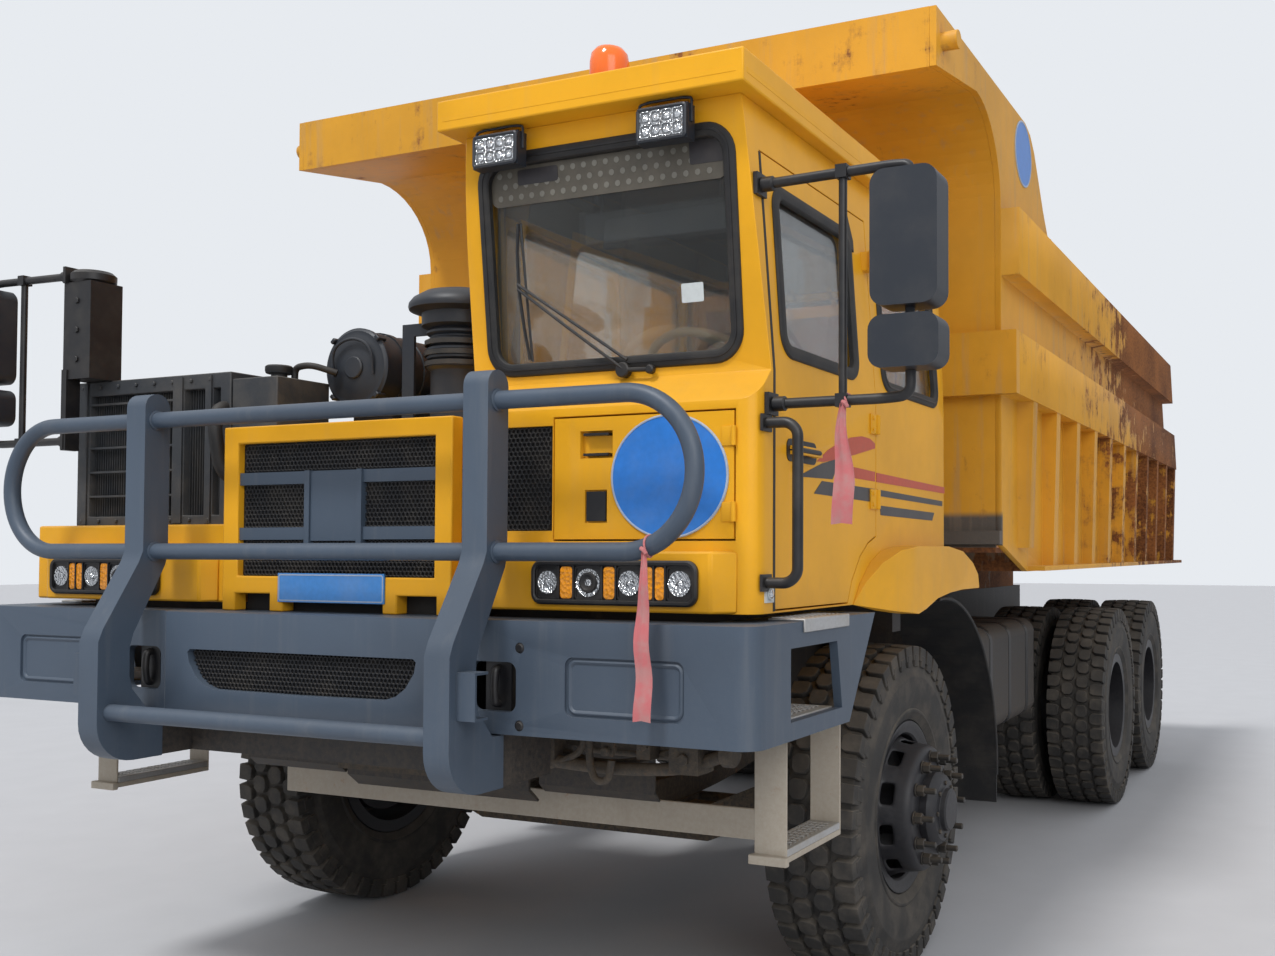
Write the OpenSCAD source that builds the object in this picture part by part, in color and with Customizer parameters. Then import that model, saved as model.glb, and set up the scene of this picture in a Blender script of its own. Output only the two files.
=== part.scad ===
// Wide-body 6x4 mining dump truck with a half-width cab over its left front wheel.
// The front faces -Y, the truck's left is +X, and the ground is at Z = 0.

/* [Placing] */
// Front axle, along Y; the middle of the truck's length is at Y = 0
front_axle_y = -2450; // [-2500:10:-2400]

/* [Wheels] */
// Tyre diameter over the lugs
tyre_d = 1350; // [1300:10:1380]
// Tyre section width
tyre_w = 375; // [350:5:390]
// Rim flange diameter
flange_d = 711; // [680:1:740]
// Rim barrel diameter, where the bead seats
bead_d = 636; // [610:1:650]
// Shoulder lugs on each side of a tyre
lug_count = 30; // [20:1:40]
// Gap between two lugs
lug_gap = 30; // [20:2:40]
// Depth of the gap
lug_deep = 40; // [25:1:46]
// Reach of a lug in from the tyre's side
lug_long = 112; // [80:2:130]
// Front track, tyre centre to tyre centre
front_track = 2740; // [2720:10:2780]
// Rear track, between the middles of the twins
rear_track = 2710; // [2690:10:2740]
// Centre distance of twin tyres
twin_pitch = 460; // [440:5:480]
// Front axle to middle axle
wheelbase = 3800; // [3700:50:3900]
// Middle axle to rear axle
axle_spacing = 1500; // [1450:10:1560]
// Bolt circle of the wheel nuts
nut_pcd = 425; // [400:5:440]
// Wheel nuts on each wheel
nut_count = 12; // [8:1:14]

/* [Chassis] */
// Outer face of a frame rail, from the middle
rail_x = 480; // [460:10:500]
// Width of a rail's flanges
rail_w = 100; // [90:5:120]
// Height of a rail
rail_h = 370; // [340:10:400]
// Plate thickness of a rail
rail_t = 20; // [12:1:24]
// Top of the rails above the ground
rail_z = 1340; // [1330:5:1350]
// Rail length ahead of the front axle
rail_ahead = 1480; // [1400:10:1520]
// Rail length behind the front axle
rail_behind = 6120; // [6100:10:6150]
// Kingpin, from the middle
king_x = 1100; // [1080:5:1120]

/* [Cab] */
// Inner side of the cab, from the middle
cab_in = 490; // [480:5:510]
// Outer side of the cab, from the middle
cab_out = 1620; // [1600:5:1640]
// Cab front ahead of the front axle
cab_ahead = 1600; // [1590:5:1620]
// Cab back behind the front axle
cab_behind = 290; // [250:10:320]
// Bottom of the cab
sill_z = 1550; // [1540:5:1560]
// Top of the cab walls
eaves_z = 3137; // [3100:5:3160]
// Cab wall thickness
wall = 50; // [40:2:60]
// Roof thickness
roof_t = 103; // [80:1:120]

/* [Front] */
// Half width of the grille frame
grille_half = 523; // [500:1:530]
// Top of the grille frame
grille_z = 2190; // [2150:5:2200]
// Half width of the bumper
bumper_half = 1700; // [1680:5:1720]
// Bumper face ahead of the front axle
bumper_ahead = 1765; // [1750:5:1780]
// Top of the bumper
bumper_top = 1525; // [1515:5:1530]
// Bottom of the bumper
bumper_low = 1170; // [1150:5:1190]
// Inner face of a guard upright, from the middle
guard_x = 712; // [700:1:720]
// Guard upright width
upright_w = 96; // [80:2:110]
// Guard tube diameter
tube_d = 58; // [50:1:64]

/* [Bed] */
// Outer face of the bed's side plates, from the middle
bed_half = 1730; // [1700:5:1750]
// Side plate thickness
bed_t = 30; // [20:1:40]
// Depth of the box rails outside the side plates
bed_rail = 90; // [70:5:100]
// Top of the side plates
bed_top = 3400; // [3380:10:3450]
// Top of the bed floor
bed_floor_z = 1760; // [1740:5:1780]
// Bottom edge of the bed sides
bed_low = 1640; // [1620:5:1660]
// Bed front behind the front axle
bed_front_y = 800; // [780:10:830]
// Bed tail behind the front axle
bed_tail_y = 6895; // [6800:5:6950]
// Canopy edge, ahead of the front axle
canopy_ahead = 194; // [150:2:220]
// Top of the canopy
canopy_z = 3960; // [3900:10:3980]
// Ribs on each side
rib_count = 11; // [8:1:13]

/* [Hoist] */
// Hinge of the bed behind the front axle
hinge_y = 6050; // [6020:10:6080]
// Hinge height
hinge_z = 1400; // [1395:1:1400]
// Barrel diameter
barrel_d = 196; // [185:1:200]

/* [Hidden] */
$fn = 48;

// Clearances
run = 0.3; // between a piece and its seat, and round a turning shaft
seam = 6;  // round doors and lids

// Derived places
wheel_z = tyre_d / 2;
mid_y = wheelbase;
rear_y = wheelbase + axle_spacing;
function aft(d) = front_axle_y + d;
function arc(c, r, a0, a1, n) = [for (i = [0:n]) c + r * [cos(a0 + (a1 - a0) * i / n), sin(a0 + (a1 - a0) * i / n)]];

// Solids and outlines
module block(x, y, z)
    translate([x[0], aft(y[0]), z[0]]) cube([x[1] - x[0], y[1] - y[0], z[1] - z[0]]);
// An outline of [y, z], y counted from the front axle, drawn along X
module along_x(x)
    translate([x[0], front_axle_y, 0]) rotate([90, 0, 90]) linear_extrude(x[1] - x[0]) children();
// An outline of [x, z], drawn along Y
module along_y(y)
    translate([0, aft(y[1]), 0]) rotate([90, 0, 0]) linear_extrude(y[1] - y[0]) children();
// An outline of [x, y], y counted from the front axle, drawn along Z
module along_z(z)
    translate([0, front_axle_y, z[0]]) linear_extrude(z[1] - z[0]) children();
module rod_x(x, y, z, d)
    translate([x[0], aft(y), z]) rotate([0, 90, 0]) cylinder(h = x[1] - x[0], d = d);
module rod_y(x, y, z, d)
    translate([x, aft(y[0]), z]) rotate([-90, 0, 0]) cylinder(h = y[1] - y[0], d = d);
module rod_z(x, y, z, d)
    translate([x, aft(y), z[0]]) cylinder(h = z[1] - z[0], d = d);
module both_sides() {
    children();
    mirror([1, 0, 0]) children();
}
module pane(a, b, r) {
    translate([a[0] + r, b[0]]) square([a[1] - a[0] - 2 * r, b[1] - b[0]]);
    translate([a[0], b[0] + r]) square([a[1] - a[0], b[1] - b[0] - 2 * r]);
    for (u = [a[0] + r, a[1] - r], v = [b[0] + r, b[1] - r])
        translate([u, v]) circle(r);
}

// Chassis
rail_low = rail_z - rail_h;
rail_in = rail_x - rail_w;
subframe_z = rail_z + 100;
member_y = [-1400, 2250, 2950, 4510, 5790];
horn_z = [1000, 1170];
spring_x = [rail_in, rail_x - 10];
trunnion_y = (mid_y + rear_y) / 2;
trunnion_z = 740;
outrigger_y = [[-1460, -1360], [0, 100]];
lug_x = [300, 370];
tow_z = 1030;

module chassis() color("dimgray") both_sides() {
    difference() {
        block([rail_in, rail_x], [-rail_ahead, rail_behind], [rail_low, rail_z]);
        block([rail_in - 1, rail_x - rail_t], [-rail_ahead - 1, rail_behind + 1],
            [rail_low + rail_t, rail_z - rail_t]);
    }
    block([rail_in, rail_x], [900, rail_behind], [rail_z, subframe_z]);
    // spring hangers at the front, trunnion brackets at the back
    for (y = [-820, 820])
        block([rail_in + 10, rail_x - 10], [y - 50, y + 50], [rail_low - 60, rail_low]);
    along_x([rail_x, rail_x + 60]) polygon([[trunnion_y - 330, rail_low + 200], [trunnion_y + 330, rail_low + 200],
        [trunnion_y + 130, trunnion_z - 90], [trunnion_y - 130, trunnion_z - 90]]);
    rod_x([rail_x - 10, 700], trunnion_y, trunnion_z, 150);
}

// Everything that stands on the rails or runs between them, each piece on its own seat
module cross_members() color("dimgray") {
    web = rail_x - rail_t - run;
    for (y = member_y)
        block([-web, web], [y, y + 80], [rail_low + rail_t + run, rail_low + 160]);
    both_sides() {
        // guard horns, bumper struts and the cab's outriggers
        block([rail_in, guard_x + upright_w - 10], [-1600, -rail_ahead - run], horn_z);
        block([guard_x + 20, guard_x + upright_w - 10], [-1740, -1560], horn_z);
        block([rail_in, rail_x], [-1600, -rail_ahead - run], [horn_z[1] - 2, rail_z]);
        block([rail_in, rail_x], [-bumper_ahead + 32, -1590], [bumper_low + 40, bumper_top - 60]);
        for (y = outrigger_y) {
            block([rail_in, rail_x], y, [rail_z + run, sill_z - run]);
            block([rail_x - 10, shelf_in - 12], y, [rail_z + 60, sill_z - run]);
        }
        // cradle of the hoist
        block([hoist_x + 106, rail_in + 40], [hoist_foot[0] - 75, hoist_foot[0] + 75], [hoist_foot[1] - 70, rail_low - run]);
    }
    block([-guard_x, guard_x], [-1600, -rail_ahead - 40], horn_z);
    rod_x([-hoist_x - 110, hoist_x + 110], hoist_foot[0], hoist_foot[1], 90);
    rod_x([-rail_in + run, rail_in - run], hinge_y, hinge_z, 80);
    block([-web, web], [rail_behind - 40, rail_behind - 10], [rail_low + rail_t + run, rail_z - rail_t - run]);
    // towing plate at the end of the frame
    difference() {
        along_z([tow_z - 20, tow_z + 20]) polygon([[-150, rail_behind - 30], [150, rail_behind - 30], [60, rail_behind + 130],
            [-60, rail_behind + 130]]);
        rod_z(0, rail_behind + 70, [tow_z - 30, tow_z + 30], 50);
    }
}

// Front axle, knuckles and tie rod
pin_d = 64;
boss = [wheel_z - 90, wheel_z + 90];
yoke_gap = 6;
spindle_d = 110;
front_x = front_track / 2;
arm_ball = [king_x, 330];
tie_z = 535;

module front_axle() color("dimgray") {
    drop = 110;
    both_sides() difference() {
        union() {
            along_y([-65, 65]) polygon([[0, wheel_z - drop - 110], [620, wheel_z - drop - 110],
                [940, boss[0]], [king_x, boss[0]], [king_x, boss[1]], [900, wheel_z + 60],
                [600, wheel_z - drop + 40], [0, wheel_z - drop + 40]]);
            rod_z(king_x, 0, boss, 140);
            block([spring_x[0] - 10, spring_x[1] + 10], [-110, 110], [wheel_z - drop, wheel_z - drop + 60]);
        }
        rod_z(king_x, 0, [boss[0] - 1, boss[1] + 1], pin_d + 2 * run);
    }
}

module knuckle(side) color("dimgray") mirror([side < 0 ? 1 : 0, 0, 0]) {
    lug = 55;
    rod_z(king_x, 0, [boss[0] - lug - yoke_gap, boss[1] + lug + yoke_gap], pin_d);
    for (z = [boss[0] - lug - yoke_gap, boss[1] + yoke_gap]) {
        rod_z(king_x, 0, [z, z + lug], 130);
        block([king_x, king_x + 110], [-60, 60], [z, z + lug]);
    }
    block([king_x + 78, king_x + 120], [-60, 60], [boss[0] - lug - yoke_gap, boss[1] + lug + yoke_gap]);
    rod_x([king_x + 100, front_x + 150], 0, wheel_z, spindle_d);
    rod_x([king_x + 100, king_x + 135], 0, wheel_z, 230);
    // steering arm with its pin
    along_z([tie_z - 45, tie_z - 15]) polygon([[king_x - 40, 50], [king_x + 60, 50], [arm_ball[0] + 35, arm_ball[1] + 20],
        [arm_ball[0] - 35, arm_ball[1] + 20]]);
    block([king_x - 40, king_x + 60], [40, 80], [tie_z - 45, boss[0] - lug + 20]);
    rod_z(arm_ball[0], arm_ball[1], [tie_z - 45, tie_z + 60], 40);
}

module tie_rod() color("dimgray") {
    difference() {
        union() {
            rod_x([-arm_ball[0], arm_ball[0]], arm_ball[1], tie_z + 25, 56);
            both_sides() rod_z(arm_ball[0], arm_ball[1], [tie_z - 10, tie_z + 60], 90);
        }
        both_sides() rod_z(arm_ball[0], arm_ball[1], [tie_z - 20, tie_z + 70], 40 + 2 * run);
    }
}

// Springs, drive axles, engine
module leaf_pack(c, r, span, leaves, t, x) {
    // arched leaves about c, each shorter than the one before
    for (k = [0:leaves - 1])
        let (a = asin((span / 2 - k * span / (2.6 * leaves)) / r), r1 = r - k * t)
            along_x(x) polygon(concat(arc(c, r1, 270 - a, 270 + a, 16), arc(c, r1 - t, 270 + a, 270 - a, 16)));
}

module leaf_springs() color("dimgray") both_sides() {
    sag_r = 4200;
    seat_z = wheel_z - 50;
    top = rail_low - 60 - run;
    // front pack, hung from its hangers and seated on the beam
    intersection() {
        along_x(spring_x) difference() {
            translate([0, seat_z + run + sag_r]) circle(sag_r, $fn = 360);
            translate([0, seat_z + run + sag_r + 110]) circle(sag_r, $fn = 360);
        }
        union() {
            block(spring_x, [-862, 862], [seat_z, seat_z + 260]);
        }
    }
    for (y = [-820, 820])
        block(spring_x, [y - 40, y + 40], [seat_z + 150, top]);
    // rear pack on its trunnion
    intersection() {
        along_x([rail_x + 90, rail_x + 190]) difference() {
            translate([trunnion_y, trunnion_z + 310 - 3600]) circle(3600, $fn = 360);
            translate([trunnion_y, trunnion_z + 125 - 3600]) circle(3600, $fn = 360);
        }
        block([rail_x + 90, rail_x + 190], [mid_y - 60, rear_y + 60], [trunnion_z - 200, trunnion_z + 300]);
    }
    difference() {
        block([rail_x + 80, rail_x + 200], [trunnion_y - 130, trunnion_y + 130], [trunnion_z - 110, trunnion_z + 126]);
        rod_x([rail_x + 70, rail_x + 210], trunnion_y, trunnion_z, 150 + 2 * run);
    }
}

module drive_axles() color("dimgray") {
    for (y = [mid_y, rear_y]) {
        rod_x([-rear_track / 2 - 120, rear_track / 2 + 120], y, wheel_z, 150);
        rod_x([-840, 840], y, wheel_z, 200);
        translate([0, aft(y), wheel_z]) rotate([90, 0, 0]) cylinder(h = 260, d = 520, center = true);
        rod_y(0, [y - 330, y - 100], wheel_z, 240);
        both_sides() block([rail_x + 85, rail_x + 195], [y - 60, y + 60], [wheel_z + 60, wheel_z + 97.4]);
    }
    rod_y(0, [1060 + run, mid_y - 320], wheel_z + 40, 120);
    rod_y(0, [mid_y + 100, rear_y - 320], wheel_z, 120);
}

module engine() color("gray") {
    block([-360, 360], [-1250, 200], [900, 1750]);
    for (y = [-1000, -150])
        block([rail_t + run - rail_x, rail_x - rail_t - run], [y, y + 110], [rail_low + rail_t + 10, rail_low + 130]);
    block([-250, 250], [200, 1055], [760, 1150]);
    block([-110, 110], [850, 1060], [650, 761]);
}

// Wheels: the profiles are [radius, distance out from the tyre's middle]
module about_axle(x, y) translate([x, aft(y), wheel_z]) rotate([0, 90, 0]) children();
module turned(points) rotate_extrude($fn = 96) polygon(points);

module tyre_body() {
    r = tyre_d / 2;
    w = tyre_w / 2;
    b = bead_d / 2 + run;
    seat = w - 45 - 2 * run;
    half = [[b, 0], [b, seat], [flange_d / 2 + run, seat], [flange_d / 2 + 9, seat + 16], [flange_d / 2 + 40, w - 14], [r * 0.72, w],
        [r * 0.82, w - 3], [r * 0.92, w - 12], [r - 30, w - 20], [r - 4, w - 42], [r, 0]];
    difference() {
        turned(concat([for (p = half) p], [for (i = [len(half) - 1:-1:0]) [half[i][0], -half[i][1]]]));
        // grooves that part the shoulder lugs, staggered from one side to the other
        for (s = [-1, 1], i = [0:lug_count - 1])
            rotate((i + (s > 0 ? 0.5 : 0.25)) * 360 / lug_count)
                translate([r - lug_deep, -lug_gap / 2, s > 0 ? w - lug_long : -w - 10])
                    cube([lug_deep + 20, lug_gap, lug_long + 10]);
    }
}

module front_rim() {
    b = bead_d / 2;
    w = tyre_w / 2 - 45 - run;
    turned([[b - 22, -w], [b, -w], [b, w], [b - 22, w]]);
    for (s = [-1, 1])
        translate([0, 0, s * (w + 9) - 9]) difference() {
            cylinder(h = 18, d = flange_d, $fn = 96);
            translate([0, 0, -1]) cylinder(h = 20, d = bead_d - 44);
        }
    // disc bowl, hub face and cap
    face = 268;
    turned([[b - 10, 60], [b - 10, 84], [nut_pcd / 2 + 62, 130], [nut_pcd / 2 + 46, face - 14],
        [nut_pcd / 2 + 34, face], [60, face], [60, face - 24], [nut_pcd / 2 + 24, face - 24],
        [nut_pcd / 2 + 38, 112]]);
    translate([0, 0, face - run]) cylinder(h = 62, d1 = 300, d2 = 250);
    translate([0, 0, face + 60]) cylinder(h = 30, d = 170);
    for (i = [0:nut_count - 1])
        rotate(i * 360 / nut_count) translate([nut_pcd / 2, 0, face - 5]) {
            cylinder(h = 50, d = 46);
            cylinder(h = 84, d = 30);
        }
}

module front_hub() {
    // hub on the spindle, with the brake drum
    difference() {
        union() {
            turned([[0, -60], [120, -60], [120, 268 - 23], [0, 268 - 23]]);
            turned([[120, -100], [245, -100], [245, 62], [120, 62]]);
        }
        translate([0, 0, -150]) cylinder(h = 302, d = spindle_d + 2 * run);
        translate([0, 0, -101]) cylinder(h = 42, d = 300);
    }
}

module tyre_front(side) color([0.12, 0.12, 0.12]) mirror([side < 0 ? 1 : 0, 0, 0]) about_axle(front_x, 0) tyre_body();

module rim_front(side) color([0.1, 0.1, 0.11]) mirror([side < 0 ? 1 : 0, 0, 0]) about_axle(front_x, 0) {
    front_rim();
    front_hub();
}

module tyres_twin(y, side) color([0.12, 0.12, 0.12]) mirror([side < 0 ? 1 : 0, 0, 0])
    for (s = [-0.5, 0.5])
        about_axle(rear_track / 2 + s * twin_pitch, y) tyre_body();

module rims_twin(y, side) color([0.1, 0.1, 0.11]) mirror([side < 0 ? 1 : 0, 0, 0])
    about_axle(rear_track / 2, y) {
        b = bead_d / 2;
        w = tyre_w / 2 - 45 - run;
        for (s = [-0.5, 0.5])
            translate([0, 0, s * twin_pitch]) {
                turned([[b - 22, -w], [b, -w], [b, w], [b - 22, w]]);
                for (e = [-1, 1])
                    translate([0, 0, e * (w + 9) - 9]) difference() {
                        cylinder(h = 18, d = flange_d, $fn = 96);
                        translate([0, 0, -1]) cylinder(h = 20, d = bead_d - 44);
                    }
            }
        // spacer between the barrels, discs, nuts and the hub on the axle end
        turned([[b - 22, -twin_pitch / 2], [b - 2, -twin_pitch / 2], [b - 2, twin_pitch / 2], [b - 22, twin_pitch / 2]]);
        difference() {
            union() {
                turned([[0, -20], [b - 20, -20], [b - 20, 20], [0, 20]]);
                turned([[0, -130], [200, -130], [200, 150], [150, 190], [0, 190]]);
                for (i = [0:nut_count - 1])
                    rotate(i * 360 / nut_count) translate([nut_pcd / 2, 0, 10]) cylinder(h = 70, d = 46);
            }
            translate([0, 0, -300]) cylinder(h = 430, d = 150 + 2 * run);
        }
    }

// Bumper and guard
bumper_t = 30;
bumper_nose = 40;
top_t = 20;
shelf_in = 1480;
side_rear = 1070;
rake = [[-side_rear - 6, bumper_low - 30], [-810, bumper_top + 10]];

// Plan of the bumper: front beam with a proud middle, corners and side arms, inset by t
function bumper_edge(t) = concat(
    [[0, -bumper_ahead - bumper_nose + t], [620, -bumper_ahead - bumper_nose + t], [675, -bumper_ahead + t]],
    arc([bumper_half - 70, -bumper_ahead + 70], 70 - t, -90, 0, 8));

module bumper_half_plan(t, back)
    polygon(concat(bumper_edge(t), [[bumper_half - t, back], [0, back]]));

module bumper() color([0.36, 0.40, 0.47]) both_sides() difference() {
    along_z([bumper_low, bumper_top]) bumper_half_plan(0, -700);
    along_z([bumper_low + top_t, bumper_top - top_t]) bumper_half_plan(bumper_t, -600);
    // open behind the front beam and between the side arms
    block([-1, shelf_in], [-1602, -600], [bumper_low - 1, bumper_top + 1]);
    along_x([shelf_in - 1, bumper_half + 1]) polygon([rake[0], rake[1], [-500, bumper_top + 10], [-500, bumper_low - 30]]);
    // mesh opening, towing hole, pressed panel, side step opening
    along_y([-bumper_ahead - 60, -bumper_ahead + 50])
        polygon([[-1, 1395], [500, 1395], [512, 1385], [505, 1350], [470, 1300], [430, 1272], [380, 1258], [-1, 1255]]);
    along_y([-bumper_ahead - 10, -bumper_ahead + 50]) pane([695, 872], [1240, 1395], 30);
    along_y([-bumper_ahead - 10, -bumper_ahead + 9]) pane([1053, 1468], [1237, 1418], 28);
    along_x([bumper_half - bumper_t - 1, bumper_half + 1])
        polygon([[-1526, 1225], [-1121, 1225], [-1164, 1447], [-1526, 1447]]);
    for (z = [1200, 1440])
        rod_y(885, [-bumper_ahead - 10, -bumper_ahead + 12], z, 34);
}

// Guard upright: [y, z] outline with a kick forward and a foot on the horns
module upright_outline() {
    polygon(concat(
        arc([-1780, 2258], 50, 0, 180, 10),
        [[-1830, 1740], [-1846, 1700], [-1978, 1470], [-1995, 1425], [-1995, 1140]],
        arc([-1855, 1140], 140, 180, 270, 8),
        [[-1740, 1000], [-1740, 1164], [-1795, 1166], [-1862, 1250], [-1875, 1300], [-1875, 1400]],
        [[-1862, 1448], [-1740, 1690], [-1730, 1730]]));
}

guard_bars = [[-1781, 2212], [-1781, 1738]];
loop_r = (guard_bars[0][1] - guard_bars[1][1]) / 2;
loop_x = 1273;

module bull_guard() color([0.36, 0.40, 0.47]) {
    both_sides() {
        along_x([guard_x, guard_x + upright_w]) upright_outline();
        for (b = guard_bars)
            rod_x([0, guard_x + 1], b[0], b[1], tube_d);
        rod_x([0, guard_x + 1], -1946, 1178, tube_d);
        for (b = guard_bars)
            rod_x([guard_x + upright_w - 1, loop_x], b[0], b[1], tube_d);
        translate([loop_x, aft(guard_bars[0][0]), guard_bars[1][1] + loop_r]) rotate([90, 0, 0])
            rotate([0, 0, -90]) rotate_extrude(angle = 180) translate([loop_r, 0]) circle(d = tube_d);
        // U bracket on the upright's outer side
        block([guard_x + upright_w - 1, guard_x + upright_w + 70], [-1965, -1957], [1236, 1380]);
        for (z = [1236, 1372])
            block([guard_x + upright_w - 1, guard_x + upright_w + 70], [-1965, -1905], [z, z + 8]);
    }
}

tread_t = 8;
hang_x = [1485, 1600];
hang_y = [-1340, -890];
hang_z = 750;
module step_treads() color("silver") both_sides() {
    block([1580, bumper_half + tread_t], [-1440, -1075], [bumper_top + run, bumper_top + tread_t]);
    block([bumper_half + run, bumper_half + tread_t], [-1440, -1075], [bumper_top - 34, bumper_top + tread_t]);
    block([1500, bumper_half - bumper_t - 2], [-1515, -1130], [bumper_low + top_t + run, bumper_low + top_t + 40]);
    block(hang_x, [hang_y[0] + 9, hang_y[1] - 9], [hang_z + 20, hang_z + 44]);
}

module hanging_steps() color("wheat") both_sides() {
    for (y = [hang_y[0], hang_y[1] - 8])
        block(hang_x, [y, y + 8], [hang_z, bumper_low - run]);
    block([hang_x[0] - 10, hang_x[1] + 10], [hang_y[0] - 24, hang_y[0]], [hang_z - 6, hang_z + 24]);
    block(hang_x, [hang_y[0], hang_y[1]], [hang_z, hang_z + 20 - run]);
}

module under_plate() color("tan") {
    block([-1000, 1290], [-900, -888], [700, 812]);
    both_sides() block([rail_in, rail_in + 60], [-888, -876], [700, rail_low - run]);
}

// Grille, hood and panels
frame_bar = 62;
frame_y = [-1655, -cab_ahead - run];
module grille_frame() color([0.93, 0.66, 0.13]) {
    along_y(frame_y) difference() {
        translate([-grille_half, 1588]) square([2 * grille_half, grille_z - 1588]);
        translate([-grille_half + 72, 1588 + frame_bar]) square([2 * grille_half - 144, grille_z - 1588 - 2 * frame_bar]);
    }
    for (x = [-grille_half, -290, 230, grille_half - 62])
        block([x, x + 62], frame_y, [bumper_top + run, 1588]);
}

mesh_z = [1588 + frame_bar + run, grille_z - frame_bar - run];
module black_mesh() color([0.12, 0.12, 0.13]) {
    half = grille_half - 72 - run;
    block([-half, half], [-1628, -1618], mesh_z);
    for (z = [1780, 1978])
        block([-half, half], [-1646, -1628], [z, z + 44]);
    block([-130, 130], [-1652, -1628], [1770, 2022]);
    // cab front panel and bumper panel
    block([cab_in + 150 + run, 883 - run], [-cab_ahead + 8, -cab_ahead + 18], [1806 + run, 2146 - run]);
    block([-540, 540], [-bumper_ahead - bumper_nose + bumper_t + run, -bumper_ahead - bumper_nose + bumper_t + 8], [1240, 1410]);
}

hood_t = 25;
module engine_hood() color([0.93, 0.66, 0.13]) {
    difference() {
        block([-grille_half, cab_in - 20], [-cab_ahead, 300], [deck_z + run, grille_z]);
        block([-grille_half + hood_t, cab_in], [-cab_ahead - 1, 300 - hood_t], [1800, grille_z - hood_t]);
    }
}

lamp_face = -1650;
module lamp_panels() color([0.93, 0.66, 0.13]) both_sides()
    along_z([sill_z + 2, 1740]) polygon([[600, -cab_ahead - run], [650, lamp_face], [1490, lamp_face], [1560, -cab_ahead - run]]);

lamp_x = [850, 1453];
lamp_z = [1572, 1712];
lamp_count = 4;
module lamps() color([0.15, 0.15, 0.16]) {
    both_sides() {
        difference() {
            along_y([lamp_face - 22, lamp_face - run]) pane(lamp_x, lamp_z, 34);
            along_y([lamp_face - 23, lamp_face - 9]) pane([lamp_x[0] + 14, lamp_x[1] - 14], [lamp_z[0] + 14, lamp_z[1] - 14], 22);
        }
        // round lamps with amber blocks between them
        pitch = (lamp_x[1] - lamp_x[0] - 150) / (lamp_count - 1);
        for (i = [0:lamp_count - 1])
            rod_y(lamp_x[0] + 75 + i * pitch, [lamp_face - 19, lamp_face - 5], (lamp_z[0] + lamp_z[1]) / 2, 96);
        for (i = [0:lamp_count - 2])
            block([lamp_x[0] + 75 + (i + 0.5) * pitch - 34, lamp_x[0] + 75 + (i + 0.5) * pitch + 34], [lamp_face - 17, lamp_face - 5],
                [lamp_z[0] + 22, lamp_z[1] - 22]);
        // tail lamps on the last member
        block([rail_x + run, rail_x + 320], [rail_behind - 60, rail_behind - 10], [1120, 1220]);
    }
    // work lamps under the roof brim, each on its bracket
    for (x = [690, 1320]) {
        block([x - 90, x + 90], [-1668, -1612], [2998, 3112]);
        block([x - 20, x + 20], [-1645, -1630], [3100, eaves_z - run]);
    }
}

// Fender eyebrows: [y, z] outline, narrowed in plan towards the front
fender_x = bumper_half + 20;
module fenders() color([0.93, 0.66, 0.13]) both_sides() intersection() {
    along_x([cab_out + run, fender_x]) polygon([[-830, 1550], [-760, 1628], [-660, 1700], [-540, 1745], [-400, 1762],
        [0, 1762], [200, 1742], [350, 1692], [430, 1640], [446, 1590], [446, 1578], [200, 1578], [20, 1570],
        [-150, 1552], [-300, 1515], [-390, 1500], [-600, 1520]]);
    along_z([1400, 1800]) polygon([[1500, -830], [cab_out + 4, -830], [cab_out + 60, -640], [fender_x, -460], [fender_x, 446],
        [1500, 446]]);
}

guard_arc = [320, 640];
guard_r = 900;
module mudguards() color([0.1, 0.1, 0.1]) both_sides() {
    along_x([1190, 1590]) polygon(concat(arc(guard_arc, guard_r, -2, 94, 20), arc(guard_arc, guard_r - 14, 94, -2, 20)));
    block([1190, 1590], [1202, 1214], [720, 640 + 30]);
    block([1190, 1590], [1203, 1213], [470, 640]);
    rod_x([rail_x + run, 1195], 1150, 1000, 50);
}

// Cab: a plan, a side and a front outline meet in one shell; each is inset by t
brow = [-1500, 2300];
cab_top_x = 1560;
plan_r = 60;
function cab_side(t) = [[-cab_ahead + t, sill_z + t], [-cab_ahead + t, 2200 - t / 3], [brow[0] + t, brow[1]],
    [-1590 + t, eaves_z + 1], [cab_behind - t, eaves_z + 1], [cab_behind - t, sill_z + t]];
module cab_body(t) intersection() {
    along_x([cab_in + t, cab_out]) polygon(cab_side(t));
    along_y([-cab_ahead, cab_behind]) polygon([[cab_in, sill_z], [cab_out - t, sill_z], [cab_out - t, 2300],
        [cab_top_x - t, eaves_z], [cab_in, eaves_z]]);
    along_z([sill_z, eaves_z]) pane([cab_in, cab_out - t / 2], [-cab_ahead + t / 2, cab_behind], plan_r - t / 2);
}
module cab_skin(t0, t1) difference() {
    cab_body(t0);
    translate([0, 0, 0.5]) cab_body(t1);
}

// Door outline [y, z], grown by g, and more at its front edge, which swings past the pillar
function door_edge(g) = [[-1470 - 1.6 * g, 1562 - g], [-880 + g, 1562 - g], [-840 + g, 1640 - g], [-760 + g, 1725 - g],
    [-680 + g, 1775 - g], [-600 + g, 1800 - g], [-600 + g, 2985 + g], [-1480 - 1.6 * g, 2985 + g],
    [-1470 - 1.6 * g, 2300]];
door_pane = [[-1400, -780], [2375, 2890]];
quarter_pane = [[-500, 150], [2375, 2950]];
screen_pane = [[575, 1510], [2350, 3045]];
lid = [[892, 1543], [1778, 2167]];
lid_axis = [1546, -cab_ahead - 8 - run];
door_axis = [cab_out + 8 + run, -598];

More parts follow.
